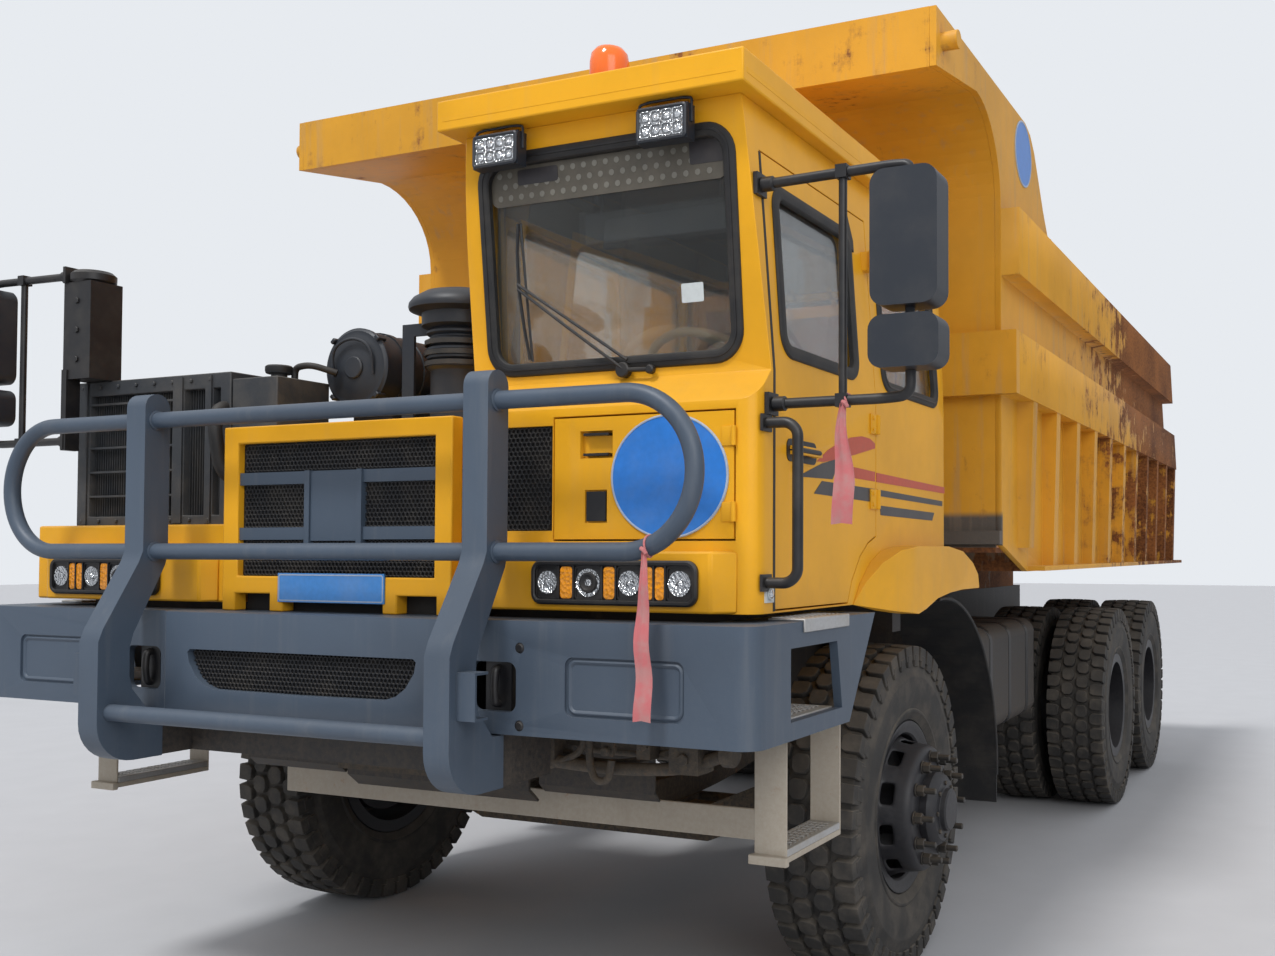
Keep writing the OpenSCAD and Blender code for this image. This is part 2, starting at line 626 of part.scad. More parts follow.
module cab_shell() color([0.93, 0.66, 0.13]) difference() {
    cab_skin(0, wall);
    along_x([cab_out - 200, cab_out + 10]) polygon(door_edge(seam));
    along_x([cab_out - 200, cab_out + 10]) pane(quarter_pane[0], quarter_pane[1], 60);
    along_x([cab_in - 10, cab_in + wall + 10]) pane([-1300, -150], [2375, 2900], 60);
    along_y([-cab_ahead - 10, -1400]) pane(screen_pane[0], screen_pane[1], 80);
    along_y([100, cab_behind + 10]) pane([700, 1400], [2375, 2900], 60);
    block([lid[0][0] - seam, lid[0][1] + seam], [-cab_ahead - 10, -cab_ahead + wall - 12], [lid[1][0] - seam, lid[1][1] + seam]);
    block([cab_in + 150, 883], [-cab_ahead - 10, -cab_ahead + 24], [1806, 2146]);
}

module storage_lid() color([0.93, 0.66, 0.13]) {
    lid_plate();
    lid_hinge();
}

module lid_plate() difference() {
    block(lid[0], [-cab_ahead, -cab_ahead + 30], lid[1]);
    block([990, 1112], [-cab_ahead - 1, -cab_ahead + 22], [2036, 2123]);
    block([1009, 1092], [-cab_ahead - 1, -cab_ahead + 10], [1830, 1935]);
}

module lid_hinge() for (z = [1830, 2060]) {
    rod_z(lid_axis[0], lid_axis[1], [z, z + 60], 16);
    block([lid[0][1] - 40, lid_axis[0]], [-cab_ahead - 4, -cab_ahead + 1], [z, z + 60]);
}

brim_ahead = 1680;
brim_x = [cab_in - 25, 1612];
module cab_roof() color([0.93, 0.66, 0.13]) difference() {
    block(brim_x, [-brim_ahead, cab_behind + 40], [eaves_z + run, eaves_z + roof_t]);
    // pressed recess on top
    block([brim_x[0] + 90, brim_x[1] - 90], [-brim_ahead + 90, cab_behind - 50], [eaves_z + roof_t - 12, eaves_z + roof_t + 1]);
}

module cab_windows() color([0.5, 0.6, 0.65, 0.5]) {
    intersection() {
        cab_skin(18, 26);
        union() {
            along_x([cab_out - 200, cab_out + 10]) pane([for (v = quarter_pane[0]) v], quarter_pane[1], 60);
            along_x([cab_in, cab_in + wall + 10]) pane([-1300, -150], [2375, 2900], 60);
            along_y([-cab_ahead - 10, -1400]) pane(screen_pane[0], screen_pane[1], 80);
            along_y([100, cab_behind + 10]) pane([700, 1400], [2375, 2900], 60);
        }
    }
}

module cab_door() color([0.93, 0.66, 0.13]) {
    difference() {
        intersection() {
            cab_skin(0, wall);
            along_x([cab_out - 200, cab_out + 10]) polygon(door_edge(0));
        }
        along_x([cab_out - 200, cab_out + 10]) pane(door_pane[0], door_pane[1], 60);
        block([cab_out - 210, cab_out - wall - 22], [-1500, -1440], [sill_z, 2540]);
    }
    // hinges
    for (z = [1900, 2180]) {
        rod_z(door_axis[0], door_axis[1], [z, z + 70], 16);
        block([cab_out - 3, door_axis[0]], [-650, -600], [z, z + 70]);
    }
    block([cab_out - 60, door_axis[0]], [-650, -600], [2790, 2860]);
    rod_z(door_axis[0], door_axis[1], [2790, 2860], 16);
    // handle
    block([cab_out - 4, cab_out + 34], [-1370, -1350], [2048, 2076]);
    block([cab_out + 18, cab_out + 34], [-1370, -1180], [2048, 2076]);
    block([cab_out - 4, cab_out + 34], [-1200, -1180], [2048, 2076]);
}

module door_glass() color([0.5, 0.6, 0.65, 0.5]) intersection() {
    cab_skin(18, 26);
    along_x([cab_out - 200, cab_out + 10]) pane(door_pane[0], door_pane[1], 60);
}

// Inside the cab
floor_z = sill_z + wall + 0.5;
seat_x = 1130;
module cab_interior() color([0.2, 0.2, 0.21]) {
    // dashboard against the front wall
    along_x([cab_in + wall + 2, cab_out - wall - 6]) polygon([[-1440, 1780], [-1280, 1800], [-1060, 2120], [-1050, 2200],
        [-1120, 2260], [-1400, 2300], [-1440, 2290]]);
    block([700, 900], [-1440, -1250], [floor_z + run, 1790]);
    // column
    translate([seat_x, aft(-1150), 2180]) rotate([-42, 0, 0]) cylinder(h = 230, d = 70);
    // seat base
    block([seat_x - 190, seat_x + 190], [-560, -200], [floor_z + run, 1930]);
}

module seat_pads() color("firebrick") {
    block([seat_x - 250, seat_x + 250], [-740, -190], [1930 + run, 2060]);
    along_x([seat_x - 240, seat_x + 240]) polygon([[-190 + run, 1960], [-190 + run, 2080], [-120, 2780], [0, 2780], [-50, 1960]]);
}

wheel_ring = 460;
module steering_wheel() color("tan")
    translate([seat_x, aft(-1150), 2180]) rotate([-42, 0, 0]) translate([0, 0, 230 + run]) {
        rotate_extrude() translate([wheel_ring / 2, 0]) circle(d = 32);
        translate([0, 0, 0]) cylinder(h = 30, d = 110);
        for (a = [90, 210, 330])
            rotate(a) translate([0, -14, 4]) cube([wheel_ring / 2, 28, 14]);
    }

module wipers() color([0.1, 0.1, 0.1]) {
    rod_y(1100, [-1530, -1505.4 - run], 2325, 50);
    translate([1100, aft(-1532), 2325]) rotate([6, -58, 0]) translate([-9, -6, 0]) cube([18, 10, 560]);
}

beacon_at = [1020, -1490];
module beacon() color("orangered") {
    rod_z(beacon_at[0], beacon_at[1], [eaves_z + roof_t - 12 + run, eaves_z + roof_t + 40], 150);
    rod_z(beacon_at[0], beacon_at[1], [eaves_z + roof_t + 40, eaves_z + roof_t + 165], 130);
}

// Mirrors, both sides alike; the right-hand arms stand on the post
mirror_y = -1516;
mirror_x = [1975, 2180];
mirror_reach = (mirror_x[0] + mirror_x[1]) / 2;
arm_d = 32;
function cab_side_x(z) = cab_out - (cab_out - cab_top_x) * max(0, z - 2300) / (eaves_z - 2300);
module one_mirror_arm(roots) {
    rod_x([roots[1], mirror_reach], mirror_y, 2870, arm_d);
    rod_x([roots[0], mirror_reach], mirror_y, 2190, arm_d);
    rod_z(1864, mirror_y, [2190, 2870], arm_d);
    rod_z(mirror_reach, mirror_y, [2190, 2257.4 - run], arm_d);
    rod_z(mirror_reach, mirror_y, [2847.8 + run, 2880], arm_d);
}

module mirror_arms() color([0.1, 0.1, 0.11]) {
    one_mirror_arm([cab_out + run, cab_side_x(2854) + run]);
    mirror([1, 0, 0]) one_mirror_arm([1560, 1560]);
    // grab handle on the corner pillar
    for (z = [1645, 2130])
        rod_x([cab_out + run, cab_out + 110], -1545, z, 34);
    rod_z(cab_out + 110, -1545, [1628, 2147], 34);
    // right-hand post on the radiator frame
    block([-1580, -1420], [-1540, -1400], [2440 + run, 2840]);
    rod_z(-1500, -1470, [2840, 2890], 170);
    mirror([1, 0, 0]) block([1550, 1580], [mirror_y - 30, mirror_y + 30], [2150, 2480]);
}

module mirror_heads() color([0.13, 0.13, 0.14]) both_sides() {
    along_x(mirror_x) polygon([[mirror_y - 70, 2490], [mirror_y - 40, 2455], [mirror_y + 50, 2445], [mirror_y + 50, 2850],
        [mirror_y - 40, 2845], [mirror_y - 70, 2810]]);
    along_x([mirror_x[0] + 5, mirror_x[1] + 5]) polygon([[mirror_y - 70, 2300], [mirror_y - 40, 2262], [mirror_y + 45, 2255],
        [mirror_y + 45, 2440], [mirror_y - 40, 2435], [mirror_y - 70, 2400]]);
    rod_z(mirror_reach, mirror_y, [2435, 2470], 30);
}

// Right-hand side
deck_z = 1840;
module right_deck() color([0.93, 0.66, 0.13]) difference() {
    block([-cab_out, -grille_half - 8], [-cab_ahead, cab_behind], [sill_z, deck_z]);
    block([-cab_out + 40, -grille_half - 48], [-cab_ahead + 40, cab_behind - 40], [sill_z - 1, deck_z - 30]);
}

rad_x = [-cab_out, -745];
rad_y = [-1440, -1230];
rad_z = [deck_z + run, 2440];
module radiator() color([0.2, 0.2, 0.22]) {
    difference() {
        block(rad_x, rad_y, rad_z);
        block([rad_x[0] + 70, -1060], [rad_y[0] - 1, rad_y[0] + 60], [rad_z[0] + 40, rad_z[1] - 60]);
        block([-1000, -880], [rad_y[0] - 1, rad_y[0] + 60], [rad_z[0] + 40, rad_z[1] - 60]);
        block([-840, -800], [rad_y[0] - 1, rad_y[0] + 60], [rad_z[0] + 40, rad_z[1] - 60]);
    }
    // expansion tank with its cap, on the hood
    block([-735, -500], [-1440, -1180], [grille_z + run, 2410]);
    rod_z(-610, -1330, [2410, 2440], 60);
    rod_z(-610, -1330, [2436, 2456], 100);
}

module air_intake() color([0.22, 0.23, 0.25]) {
    // drum, its cradle, the pre-cleaner with its bellows and bracket
    rod_y(-330, [-1200, -620], 2460, 300);
    rod_y(-330, [-1216, -1200], 2460, 316);
    block([-430, -230], [-1120, -1060], [grille_z + run, 2340]);
    block([-430, -230], [-760, -700], [grille_z + run, 2340]);
    rod_z(140, -1150, [grille_z + run, 2420], 230);
    for (z = [2420:40:2540])
        translate([140, aft(-1150), z]) {
            cylinder(h = 20, d = 260);
            translate([0, 0, 20]) cylinder(h = 20, d = 236);
        }
    rod_z(140, -1150, [2580, 2650], 300);
    translate([140, aft(-1150), 2640]) cylinder(h = 40, d = 396);
    translate([140, aft(-1150), 2680]) cylinder(h = 60, d1 = 396, d2 = 250);
    rod_y(-150, [-1150, -900], 2330, 160);
    rod_x([-330, 140], -900, 2330, 160);
    block([-130, -70], [-1180, -1120], [grille_z + run, 2620]);
    block([-130, 20], [-1180, -1120], [2570, 2620]);
}

module side_tanks() color([0.16, 0.16, 0.17]) both_sides() {
    along_y([1450, 2650]) pane([rail_x + 80, 1440], [740, 1330], 90);
    for (y = [1650, 2400])
        block([rail_x + run, rail_x + 90], [y, y + 80], [rail_low + 20, rail_z - 20]);
}

// Bed
beam_x = [rail_in, rail_x];
plate_in = bed_half - bed_t;
tail_top_y = 6200;
function bed_end(z) = bed_tail_y + (tail_top_y - bed_tail_y) * (z - bed_low) / (bed_top - bed_low);
roof_c = [bed_front_y - 410, 3400];
soffit_r = 410;
soffit_z = 3712;

// Side plate outline [y, z]
module bed_side_outline() polygon(concat(
    [[bed_front_y, 1776], [1300, bed_low], [bed_tail_y, bed_low], [bed_end(bed_top), bed_top], [1880, bed_top],
        [1690, 3600], [1490, 3860], [1400, 3930], [1290, canopy_z], [-canopy_ahead, canopy_z], [-canopy_ahead, soffit_z]],
    [for (p = arc(roof_c, soffit_r, 90, 0, 10)) p]));

module bed_sides() color([0.90, 0.63, 0.12]) both_sides() {
    along_x([plate_in, bed_half]) bed_side_outline();
    // box rails, bottom flange and ribs, all let into the plate
    x0 = bed_half - 8;
    for (z = [[2488, 2789], [3064, 3386]])
        along_x([x0, bed_half + bed_rail]) polygon([[bed_front_y + 4, z[0]], [bed_end(z[0]) - 4, z[0]],
            [bed_end(z[1]) - 4, z[1]], [bed_front_y + 4, z[1]]]);
    along_x([x0, bed_half + bed_rail]) polygon([[1304, bed_low + 3], [bed_end(bed_low) - 6, bed_low + 3],
        [bed_end(bed_low + 28) - 6, bed_low + 28], [1304, bed_low + 28]]);
    // lifting pin at the canopy's corner
    rod_x([x0, bed_half + 70], -110, 3840, 76);
    pitch = (bed_end(2488) - 110 - 1100) / (rib_count - 1);
    for (i = [0:rib_count - 1])
        let (y = 1100 + i * pitch, foot = i == 0 ? 1760 : bed_low + 20)
            along_y([y, y + 90]) polygon([[x0, foot], [bed_half + 60, foot], [bed_half + bed_rail - 6, 2496], [x0, 2496]]);
}

module bed_front() color([0.90, 0.63, 0.12]) {
    t = 22;
    w = plate_in - run;
    // front wall curving forward into the canopy
    along_x([-w, w]) polygon(concat([[bed_front_y + t, bed_floor_z + run], [bed_front_y + t, roof_c[1]]],
        arc(roof_c, soffit_r + t, 0, 90, 12), [[-canopy_ahead, soffit_z + t]],
        [[-canopy_ahead, soffit_z]], arc(roof_c, soffit_r, 90, 0, 12), [[bed_front_y, bed_floor_z + run]]));
    // front lip, stiffeners and the box across the wall
    block([-w, w], [-canopy_ahead, -canopy_ahead + t], [soffit_z, canopy_z]);
    for (x = [-1000, 0, 1000])
        along_x([x - 12, x + 12]) polygon([
            [300, canopy_z - 40], [roof_c[0] + (soffit_r + 16) * cos(54), roof_c[1] + (soffit_r + 16) * sin(54)],
            [roof_c[0] + (soffit_r + 8) * cos(58), roof_c[1] + (soffit_r + 8) * sin(58)],
            [roof_c[0], roof_c[1] + soffit_r + 8], [-canopy_ahead + 8, soffit_z + 8], [-canopy_ahead + 8, canopy_z - 20]]);
    block([-bed_half - bed_rail, bed_half + bed_rail], [bed_front_y - 62, bed_front_y - run], [2488, 2789]);
    block([-bed_half, bed_half], [bed_front_y - 40, bed_front_y - run], [1776, 1840]);
}

beam_low = subframe_z + run;
tail_kick = 5950;
module bed_floor() color([0.90, 0.63, 0.12]) {
    w = plate_in - run;
    difference() {
        along_x([-w, w]) polygon([[bed_front_y + run, bed_floor_z - 24], [tail_kick, bed_floor_z - 24],
            [bed_end(1980) - 30, 1956], [bed_end(1980) - 30, 1980], [tail_kick, bed_floor_z], [bed_front_y + run, bed_floor_z]]);
    }
    both_sides() {
        block(beam_x, [1000, 5880], [beam_low, bed_floor_z - 24]);
        difference() {
            union() {
                block(lug_x, [hinge_y - 110, hinge_y + 60], [hinge_z, bed_floor_z - 24]);
                rod_x(lug_x, hinge_y, hinge_z, 130);
            }
            rod_x([lug_x[0] - 1, lug_x[1] + 1], hinge_y, hinge_z, 80 + 2 * run);
        }
    }
    for (i = [0:9])
        block([-w, w], [1300 + i * 510, 1380 + i * 510], [bed_low, bed_floor_z - 24]);
    // hoist eye bracket
    both_sides() for (x = [hoist_x - 90, hoist_x + 70])
        block([x, x + 20], [hoist_eye[0] - 65, hoist_eye[0] + 65], [hoist_eye[1] - 60, bed_floor_z - 24]);
}

// Hoist: twin telescopic cylinders of three stages. Foot and eye lie on one circle round the
// bed's hinge, so the cylinders lean back by half of the bed's angle.
hoist_eye = [3265, 1560];
hoist_sweep = 22.2;
hoist_x = 240;
hoist_r = norm([hoist_eye[0] - hinge_y, hoist_eye[1] - hinge_z]);
hoist_a = atan2(hoist_eye[1] - hinge_z, hoist_eye[0] - hinge_y) + hoist_sweep;
hoist_foot = [hinge_y + hoist_r * cos(hoist_a), hinge_z + hoist_r * sin(hoist_a)];
hoist_len = norm([hoist_eye[0] - hoist_foot[0], hoist_eye[1] - hoist_foot[1]]);
hoist_tilt = atan2(hoist_eye[1] - hoist_foot[1], hoist_eye[0] - hoist_foot[0]);
stage_wall = 11;
stage_low = 90;
stage_top = hoist_len - 120;
stage_step = 12;
module along_hoist() translate([0, aft(hoist_foot[0]), hoist_foot[1]]) rotate([hoist_tilt - 90, 0, 0]) children();
function stage_d(i) = barrel_d - 2 * i * (stage_wall + 3.5);
function stage_foot(i) = stage_low + (i - 1) * stage_step + run;

module hoist_barrels() color("gray") along_hoist() both_sides() difference() {
    union() {
        translate([hoist_x, 0, 60]) cylinder(h = stage_top - 60, d = barrel_d);
        translate([hoist_x - 90, 0, 0]) rotate([0, 90, 0]) cylinder(h = 180, d = 140);
    }
    translate([hoist_x - 100, 0, 0]) rotate([0, 90, 0]) cylinder(h = 200, d = 90 + 2 * run);
    translate([hoist_x, 0, stage_low]) cylinder(h = hoist_len, d = barrel_d - 2 * stage_wall);
}

module hoist_stage(i) color("silver") along_hoist() both_sides() difference() {
    translate([hoist_x, 0, stage_foot(i)]) cylinder(h = stage_top - stage_low, d = stage_d(i));
    translate([hoist_x, 0, stage_foot(i + 1) - run]) cylinder(h = hoist_len, d = stage_d(i) - 2 * stage_wall);
}

module hoist_rods() color("silver") along_hoist() both_sides() {
    translate([hoist_x, 0, stage_foot(3)]) cylinder(h = hoist_len - stage_foot(3) - 20, d = stage_d(3));
    translate([hoist_x - 45, 0, hoist_len]) rotate([0, 90, 0]) cylinder(h = 90, d = 110);
    translate([hoist_x - 62, 0, hoist_len]) rotate([0, 90, 0]) cylinder(h = 124, d = 50);
}

chassis();
cross_members();
front_axle();
knuckle(1);  // knuckle_left
knuckle(-1);  // knuckle_right
tie_rod();
leaf_springs();
drive_axles();
engine();
tyre_front(1);  // tyre_front_left
tyre_front(-1);  // tyre_front_right
rim_front(1);  // rim_front_left
rim_front(-1);  // rim_front_right
tyres_twin(mid_y, 1);  // tyres_mid_left
tyres_twin(mid_y, -1);  // tyres_mid_right
tyres_twin(rear_y, 1);  // tyres_rear_left
tyres_twin(rear_y, -1);  // tyres_rear_right
rims_twin(mid_y, 1);  // rims_mid_left
rims_twin(mid_y, -1);  // rims_mid_right
rims_twin(rear_y, 1);  // rims_rear_left
rims_twin(rear_y, -1);  // rims_rear_right
bumper();
bull_guard();
step_treads();
hanging_steps();
under_plate();
grille_frame();
black_mesh();
engine_hood();
lamp_panels();
lamps();
fenders();
mudguards();
cab_shell();
cab_roof();
cab_windows();
cab_door();
door_glass();
storage_lid();
cab_interior();
seat_pads();
steering_wheel();
wipers();
beacon();
mirror_arms();
mirror_heads();
right_deck();
radiator();
air_intake();
side_tanks();
bed_floor();
bed_front();
bed_sides();
hoist_barrels();
hoist_stage(1);  // hoist_stage_1
hoist_stage(2);  // hoist_stage_2
hoist_rods();
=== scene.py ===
import math

import bmesh
import bpy
import numpy as np
from mathutils import Matrix, Vector


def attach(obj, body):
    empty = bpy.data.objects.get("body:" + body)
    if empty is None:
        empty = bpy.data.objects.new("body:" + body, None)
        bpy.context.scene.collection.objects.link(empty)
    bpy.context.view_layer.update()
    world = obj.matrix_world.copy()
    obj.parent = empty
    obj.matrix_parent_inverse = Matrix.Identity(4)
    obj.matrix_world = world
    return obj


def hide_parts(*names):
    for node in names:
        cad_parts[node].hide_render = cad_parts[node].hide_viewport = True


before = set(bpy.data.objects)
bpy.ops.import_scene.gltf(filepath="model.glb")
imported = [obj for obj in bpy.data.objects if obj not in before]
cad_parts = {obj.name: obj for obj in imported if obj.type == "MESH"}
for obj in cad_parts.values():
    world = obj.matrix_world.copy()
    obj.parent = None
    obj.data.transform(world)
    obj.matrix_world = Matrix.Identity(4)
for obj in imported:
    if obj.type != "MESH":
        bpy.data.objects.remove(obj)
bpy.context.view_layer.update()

# Sizes in millimetres, as in the part's source; Y is counted from the front axle
FRONT_AXLE = -2450.0
TYRE_R, TYRE_W, BEAD_R = 675.0, 375.0, 318.3
FRONT_X, REAR_X, TWIN = 1370.0, 1355.0, 460.0
MID_Y, REAR_Y = 3800.0, 5300.0
CAB_SIDE, MIRROR_Y, GUARD_Y, LAMP_Y, LAMP_Z, DECK_TOP = 1620.0, -1516, -1781, -1650, 1642, 2190.3
BEACON, DISCS, DRUM_X, DRUM_Z = (1020, -1490, 0), (0, 1240, 3780), -330, 2460
DRUM = (DRUM_X, 0, DRUM_Z)
LUGS, HAND_HOLES = 44, 10
SIDES = (("left", 1), ("right", -1))


def at(x, y, z):
    """A place in millimetres from the front axle, as metres in the frame"""
    return Vector((x / 1000.0, (FRONT_AXLE + y) / 1000.0, z / 1000.0))


def sided(sign, a, b):
    """The span from a to b on the left, or its mirror image on the right"""
    return sorted((sign * a, sign * b))


def link(name, data):
    obj = bpy.data.objects.new(name, data)
    bpy.context.scene.collection.objects.link(obj)
    return obj


# Camera at the photograph's viewing angle: its place, turn and lens were fitted to points of the truck
CAMERA_AT = (3239, -4863, 1739)
TURN, RISE, ROLL = -0.4106, 0.0286, 0.0011
PHOTO_WIDTH, FOCAL_LENGTH, SHIFT, SENSOR = 1275.0, 1218.0, (-180.0, 39.0), 36.0


def place_camera():
    cam = bpy.data.cameras.new("photo_camera")
    obj = link("photo_camera", cam)
    ahead = Vector((math.sin(TURN) * math.cos(RISE), math.cos(TURN) * math.cos(RISE), math.sin(RISE)))
    right = Vector((math.cos(TURN), -math.sin(TURN), 0.0))
    up = right.cross(ahead)
    right, up = (right * math.cos(ROLL) + up * math.sin(ROLL), up * math.cos(ROLL) - right * math.sin(ROLL))
    facing = Matrix((right, up, -ahead)).transposed().to_4x4()
    obj.matrix_world = Matrix.Translation(at(*CAMERA_AT)) @ facing
    cam.sensor_width = SENSOR
    cam.lens = FOCAL_LENGTH / PHOTO_WIDTH * SENSOR
    cam.shift_x, cam.shift_y = SHIFT[0] / PHOTO_WIDTH, SHIFT[1] / PHOTO_WIDTH
    cam.clip_end = 200.0
    cam.dof.use_dof = False
    bpy.context.scene.camera = obj


place_camera()


# Shapes
def mesh_from(bm, name="part"):
    mesh = bpy.data.meshes.new(name)
    bm.to_mesh(mesh)
    bm.free()
    return mesh


def circle(n):
    return [2 * math.pi * k / n for k in range(n)]


def skin(bm, rings, loop=False):
    """Faces between each ring of points and the next, and from the last to the first for a loop"""
    for a, b in zip(rings, rings[1:] + (rings[:1] if loop else [])):
        for k in range(len(a)):
            j = (k + 1) % len(a)
            bm.faces.new((a[k], a[j], b[j], b[k]))


def capped(bm, low, high):
    """A closed solid between two outlines"""
    bm.faces.new(low[::-1])
    bm.faces.new(high)
    skin(bm, [low, high])


class Shape:
    """Collects solids in one mesh; sizes in millimetres, Y from the front axle"""

    def __init__(self):
        self.bm = bmesh.new()

    def take(self, part, edge=0.0, steps=2):
        """Adds a solid, with its sharp edges rounded by edge millimetres"""
        if edge > 0:
            sharp = [e for e in part.edges if len(e.link_faces) == 2 and e.calc_face_angle(0) > 0.5]
            bmesh.ops.bevel(part, geom=sharp, offset=edge / 1000.0, segments=steps, affect="EDGES",
                            profile=0.5, clamp_overlap=True)
        bmesh.ops.recalc_face_normals(part, faces=part.faces)
        mesh = mesh_from(part)
        self.bm.from_mesh(mesh)
        bpy.data.meshes.remove(mesh)
        return self

    def block(self, x, y, z, edge=0.0, steps=2, turn=None):
        """A box, turned by (degrees, axis) about its middle where turn is given"""
        part = bmesh.new()
        corners = [part.verts.new(at(a, b, c)) for a in x for b in y for c in z]
        for f in ((0, 1, 3, 2), (4, 6, 7, 5), (0, 4, 5, 1), (2, 3, 7, 6), (0, 2, 6, 4), (1, 5, 7, 3)):
            part.faces.new([corners[i] for i in f])
        if turn:
            bmesh.ops.rotate(part, cent=at(sum(x) / 2, sum(y) / 2, sum(z) / 2), verts=part.verts,
                             matrix=Matrix.Rotation(math.radians(turn[0]), 3, turn[1]))
        return self.take(part, edge, steps)

    def prism(self, outline, axis, span, edge=0.0, steps=2):
        """outline in the plane across axis: (y, z) for X, (x, z) for Y"""
        part = bmesh.new()
        place = {"X": lambda p, s: at(s, *p), "Y": lambda p, s: at(p[0], s, p[1])}[axis]
        capped(part, *([part.verts.new(place(p, s)) for p in outline] for s in span))
        return self.take(part, edge, steps)

    def turned(self, profile, axis, centre, n=48, closed=True):
        """profile of (radius, distance along axis), turned about a line through centre"""
        part = bmesh.new()
        rings = []
        for r, d in profile:
            ring = []
            for a in circle(n):
                u, v = r * math.cos(a), r * math.sin(a)
                p = {"X": (d, u, v), "Y": (v, d, u), "Z": (u, v, d)}[axis]
                ring.append(part.verts.new(at(*(c + q for c, q in zip(centre, p)))))
            rings.append(ring)
        skin(part, rings, closed)
        for ring in () if closed else (rings[0], rings[-1]):
            if (ring[0].co - ring[n // 2].co).length > 1e-6:
                part.faces.new(ring)
        bmesh.ops.remove_doubles(part, verts=part.verts, dist=1e-6)
        return self.take(part)

    def lathe(self, profile, axis, centre, n=48):
        """As turned, for a profile that starts and ends on the axis"""
        return self.turned(profile, axis, centre, n, closed=False)

    def rod(self, axis, centre, span, d, n=24, edge=0.0):
        """A round bar of diameter d, its rims broken by edge millimetres"""
        r, (low, high) = d / 2.0, span
        profile = [(0.0, low), (r, low), (r, high), (0.0, high)]
        if edge:
            profile[1:3] = [(r - edge, low), (r, low + edge), (r, high - edge), (r - edge, high)]
        return self.lathe(profile, axis, centre, n)

    def tube(self, points, d, n=12, fillet=0.0, loop=False):
        """A round bar of diameter d along points, its bends rounded by fillet millimetres"""
        pts = [at(*p) for p in points]
        if fillet:
            pts = rounded_path(pts, fillet / 1000.0)
        part, rings = bmesh.new(), []
        nexts = pts[1:] + (pts[:1] if loop else pts[-1:])
        lasts = (pts[-1:] if loop else pts[:1]) + pts[:-1]
        tangents = [(b - a).normalized() for a, b in zip(lasts, nexts)]
        normal = tangents[0].orthogonal().normalized()
        for point, tangent in zip(pts, tangents):
            normal = (normal - tangent * normal.dot(tangent)).normalized()
            side = tangent.cross(normal)
            rings.append([part.verts.new(point + (normal * math.cos(a) + side * math.sin(a)) * d / 2000.0)
                          for a in circle(n)])
        skin(part, rings, loop)
        if not loop:
            part.faces.new(rings[0][::-1])
            part.faces.new(rings[-1])
        return self.take(part)

    def band(self, outline, place, section):
        """A strip of one section, (across, out), laid along a closed outline"""
        part, rings = bmesh.new(), []
        for i, p in enumerate(outline):
            a, b = outline[i - 1], outline[(i + 1) % len(outline)]
            t = Vector((b[0] - a[0], b[1] - a[1])).normalized()
            rings.append([part.verts.new(at(*place(p[0] + t.y * u, p[1] - t.x * u, v))) for u, v in section])
        skin(part, rings, loop=True)
        return self.take(part)

    def film(self, outline, place, low, high):
        """A thin closed plate that follows the skin under it"""
        part = bmesh.new()
        capped(part, *([part.verts.new(at(*place(u, v, out))) for u, v in outline] for out in (low, high)))
        return self.take(part)

    def done(self, name, material, body="root", slot=None, replaces=(), angle=32):
        return finish_mesh(name, mesh_from(self.bm, name), material, body, replaces, angle)


def finish_mesh(name, mesh, material, body="root", replaces=(), angle=32):
    mesh.materials.clear()
    mesh.materials.append(material)
    mesh.shade_smooth()
    mesh.set_sharp_from_angle(angle=math.radians(angle))
    obj = link(name, mesh)
    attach(obj, body)
    if replaces:
        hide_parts(*replaces)
    return obj


def smoothed(obj):
    """Rounds the whole of obj by one step of subdivision"""
    smooth = obj.modifiers.new("smooth", "SUBSURF")
    smooth.levels = smooth.render_levels = 1


def rounded_path(pts, r, steps=6):
    out = [pts[0]]
    for a, b, c in zip(pts, pts[1:], pts[2:]):
        u, v = (a - b), (c - b)
        reach = min(r, u.length * 0.49, v.length * 0.49)
        p, q = b + u.normalized() * reach, b + v.normalized() * reach
        for k in range(steps + 1):
            t = k / steps
            out.append(p * (1 - t) ** 2 + b * 2 * t * (1 - t) + q * t * t)
    out.append(pts[-1])
    return out


def rounded_outline(a, b, r, n=6):
    """A rectangle a by b with rounded corners, counter-clockwise"""
    out = []
    for cx, cy, a0 in ((a[1] - r, b[0] + r, -90), (a[1] - r, b[1] - r, 0),
                       (a[0] + r, b[1] - r, 90), (a[0] + r, b[0] + r, 180)):
        for k in range(n + 1):
            t = math.radians(a0 + 90.0 * k / n)
            out.append((cx + r * math.cos(t), cy + r * math.sin(t)))
    return out


def softened(node, material, body, width, steps=2):
    """The CAD node again with its sharp sheet edges broken, as folded and welded plate has them"""
    bm = bmesh.new()
    bm.from_mesh(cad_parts[node].data)
    bmesh.ops.remove_doubles(bm, verts=bm.verts, dist=5e-5)
    bmesh.ops.dissolve_limit(bm, angle_limit=math.radians(0.8), verts=bm.verts, edges=bm.edges)
    bmesh.ops.recalc_face_normals(bm, faces=bm.faces)
    name = node + "_soft"
    obj = finish_mesh(name, mesh_from(bm, name), material, body, (node,), 40)
    bevel = obj.modifiers.new("edges", "BEVEL")
    bevel.width = width / 1000.0
    bevel.segments = steps
    bevel.limit_method = "ANGLE"
    bevel.angle_limit = math.radians(34)
    bevel.use_clamp_overlap = True
    bevel.harden_normals = False


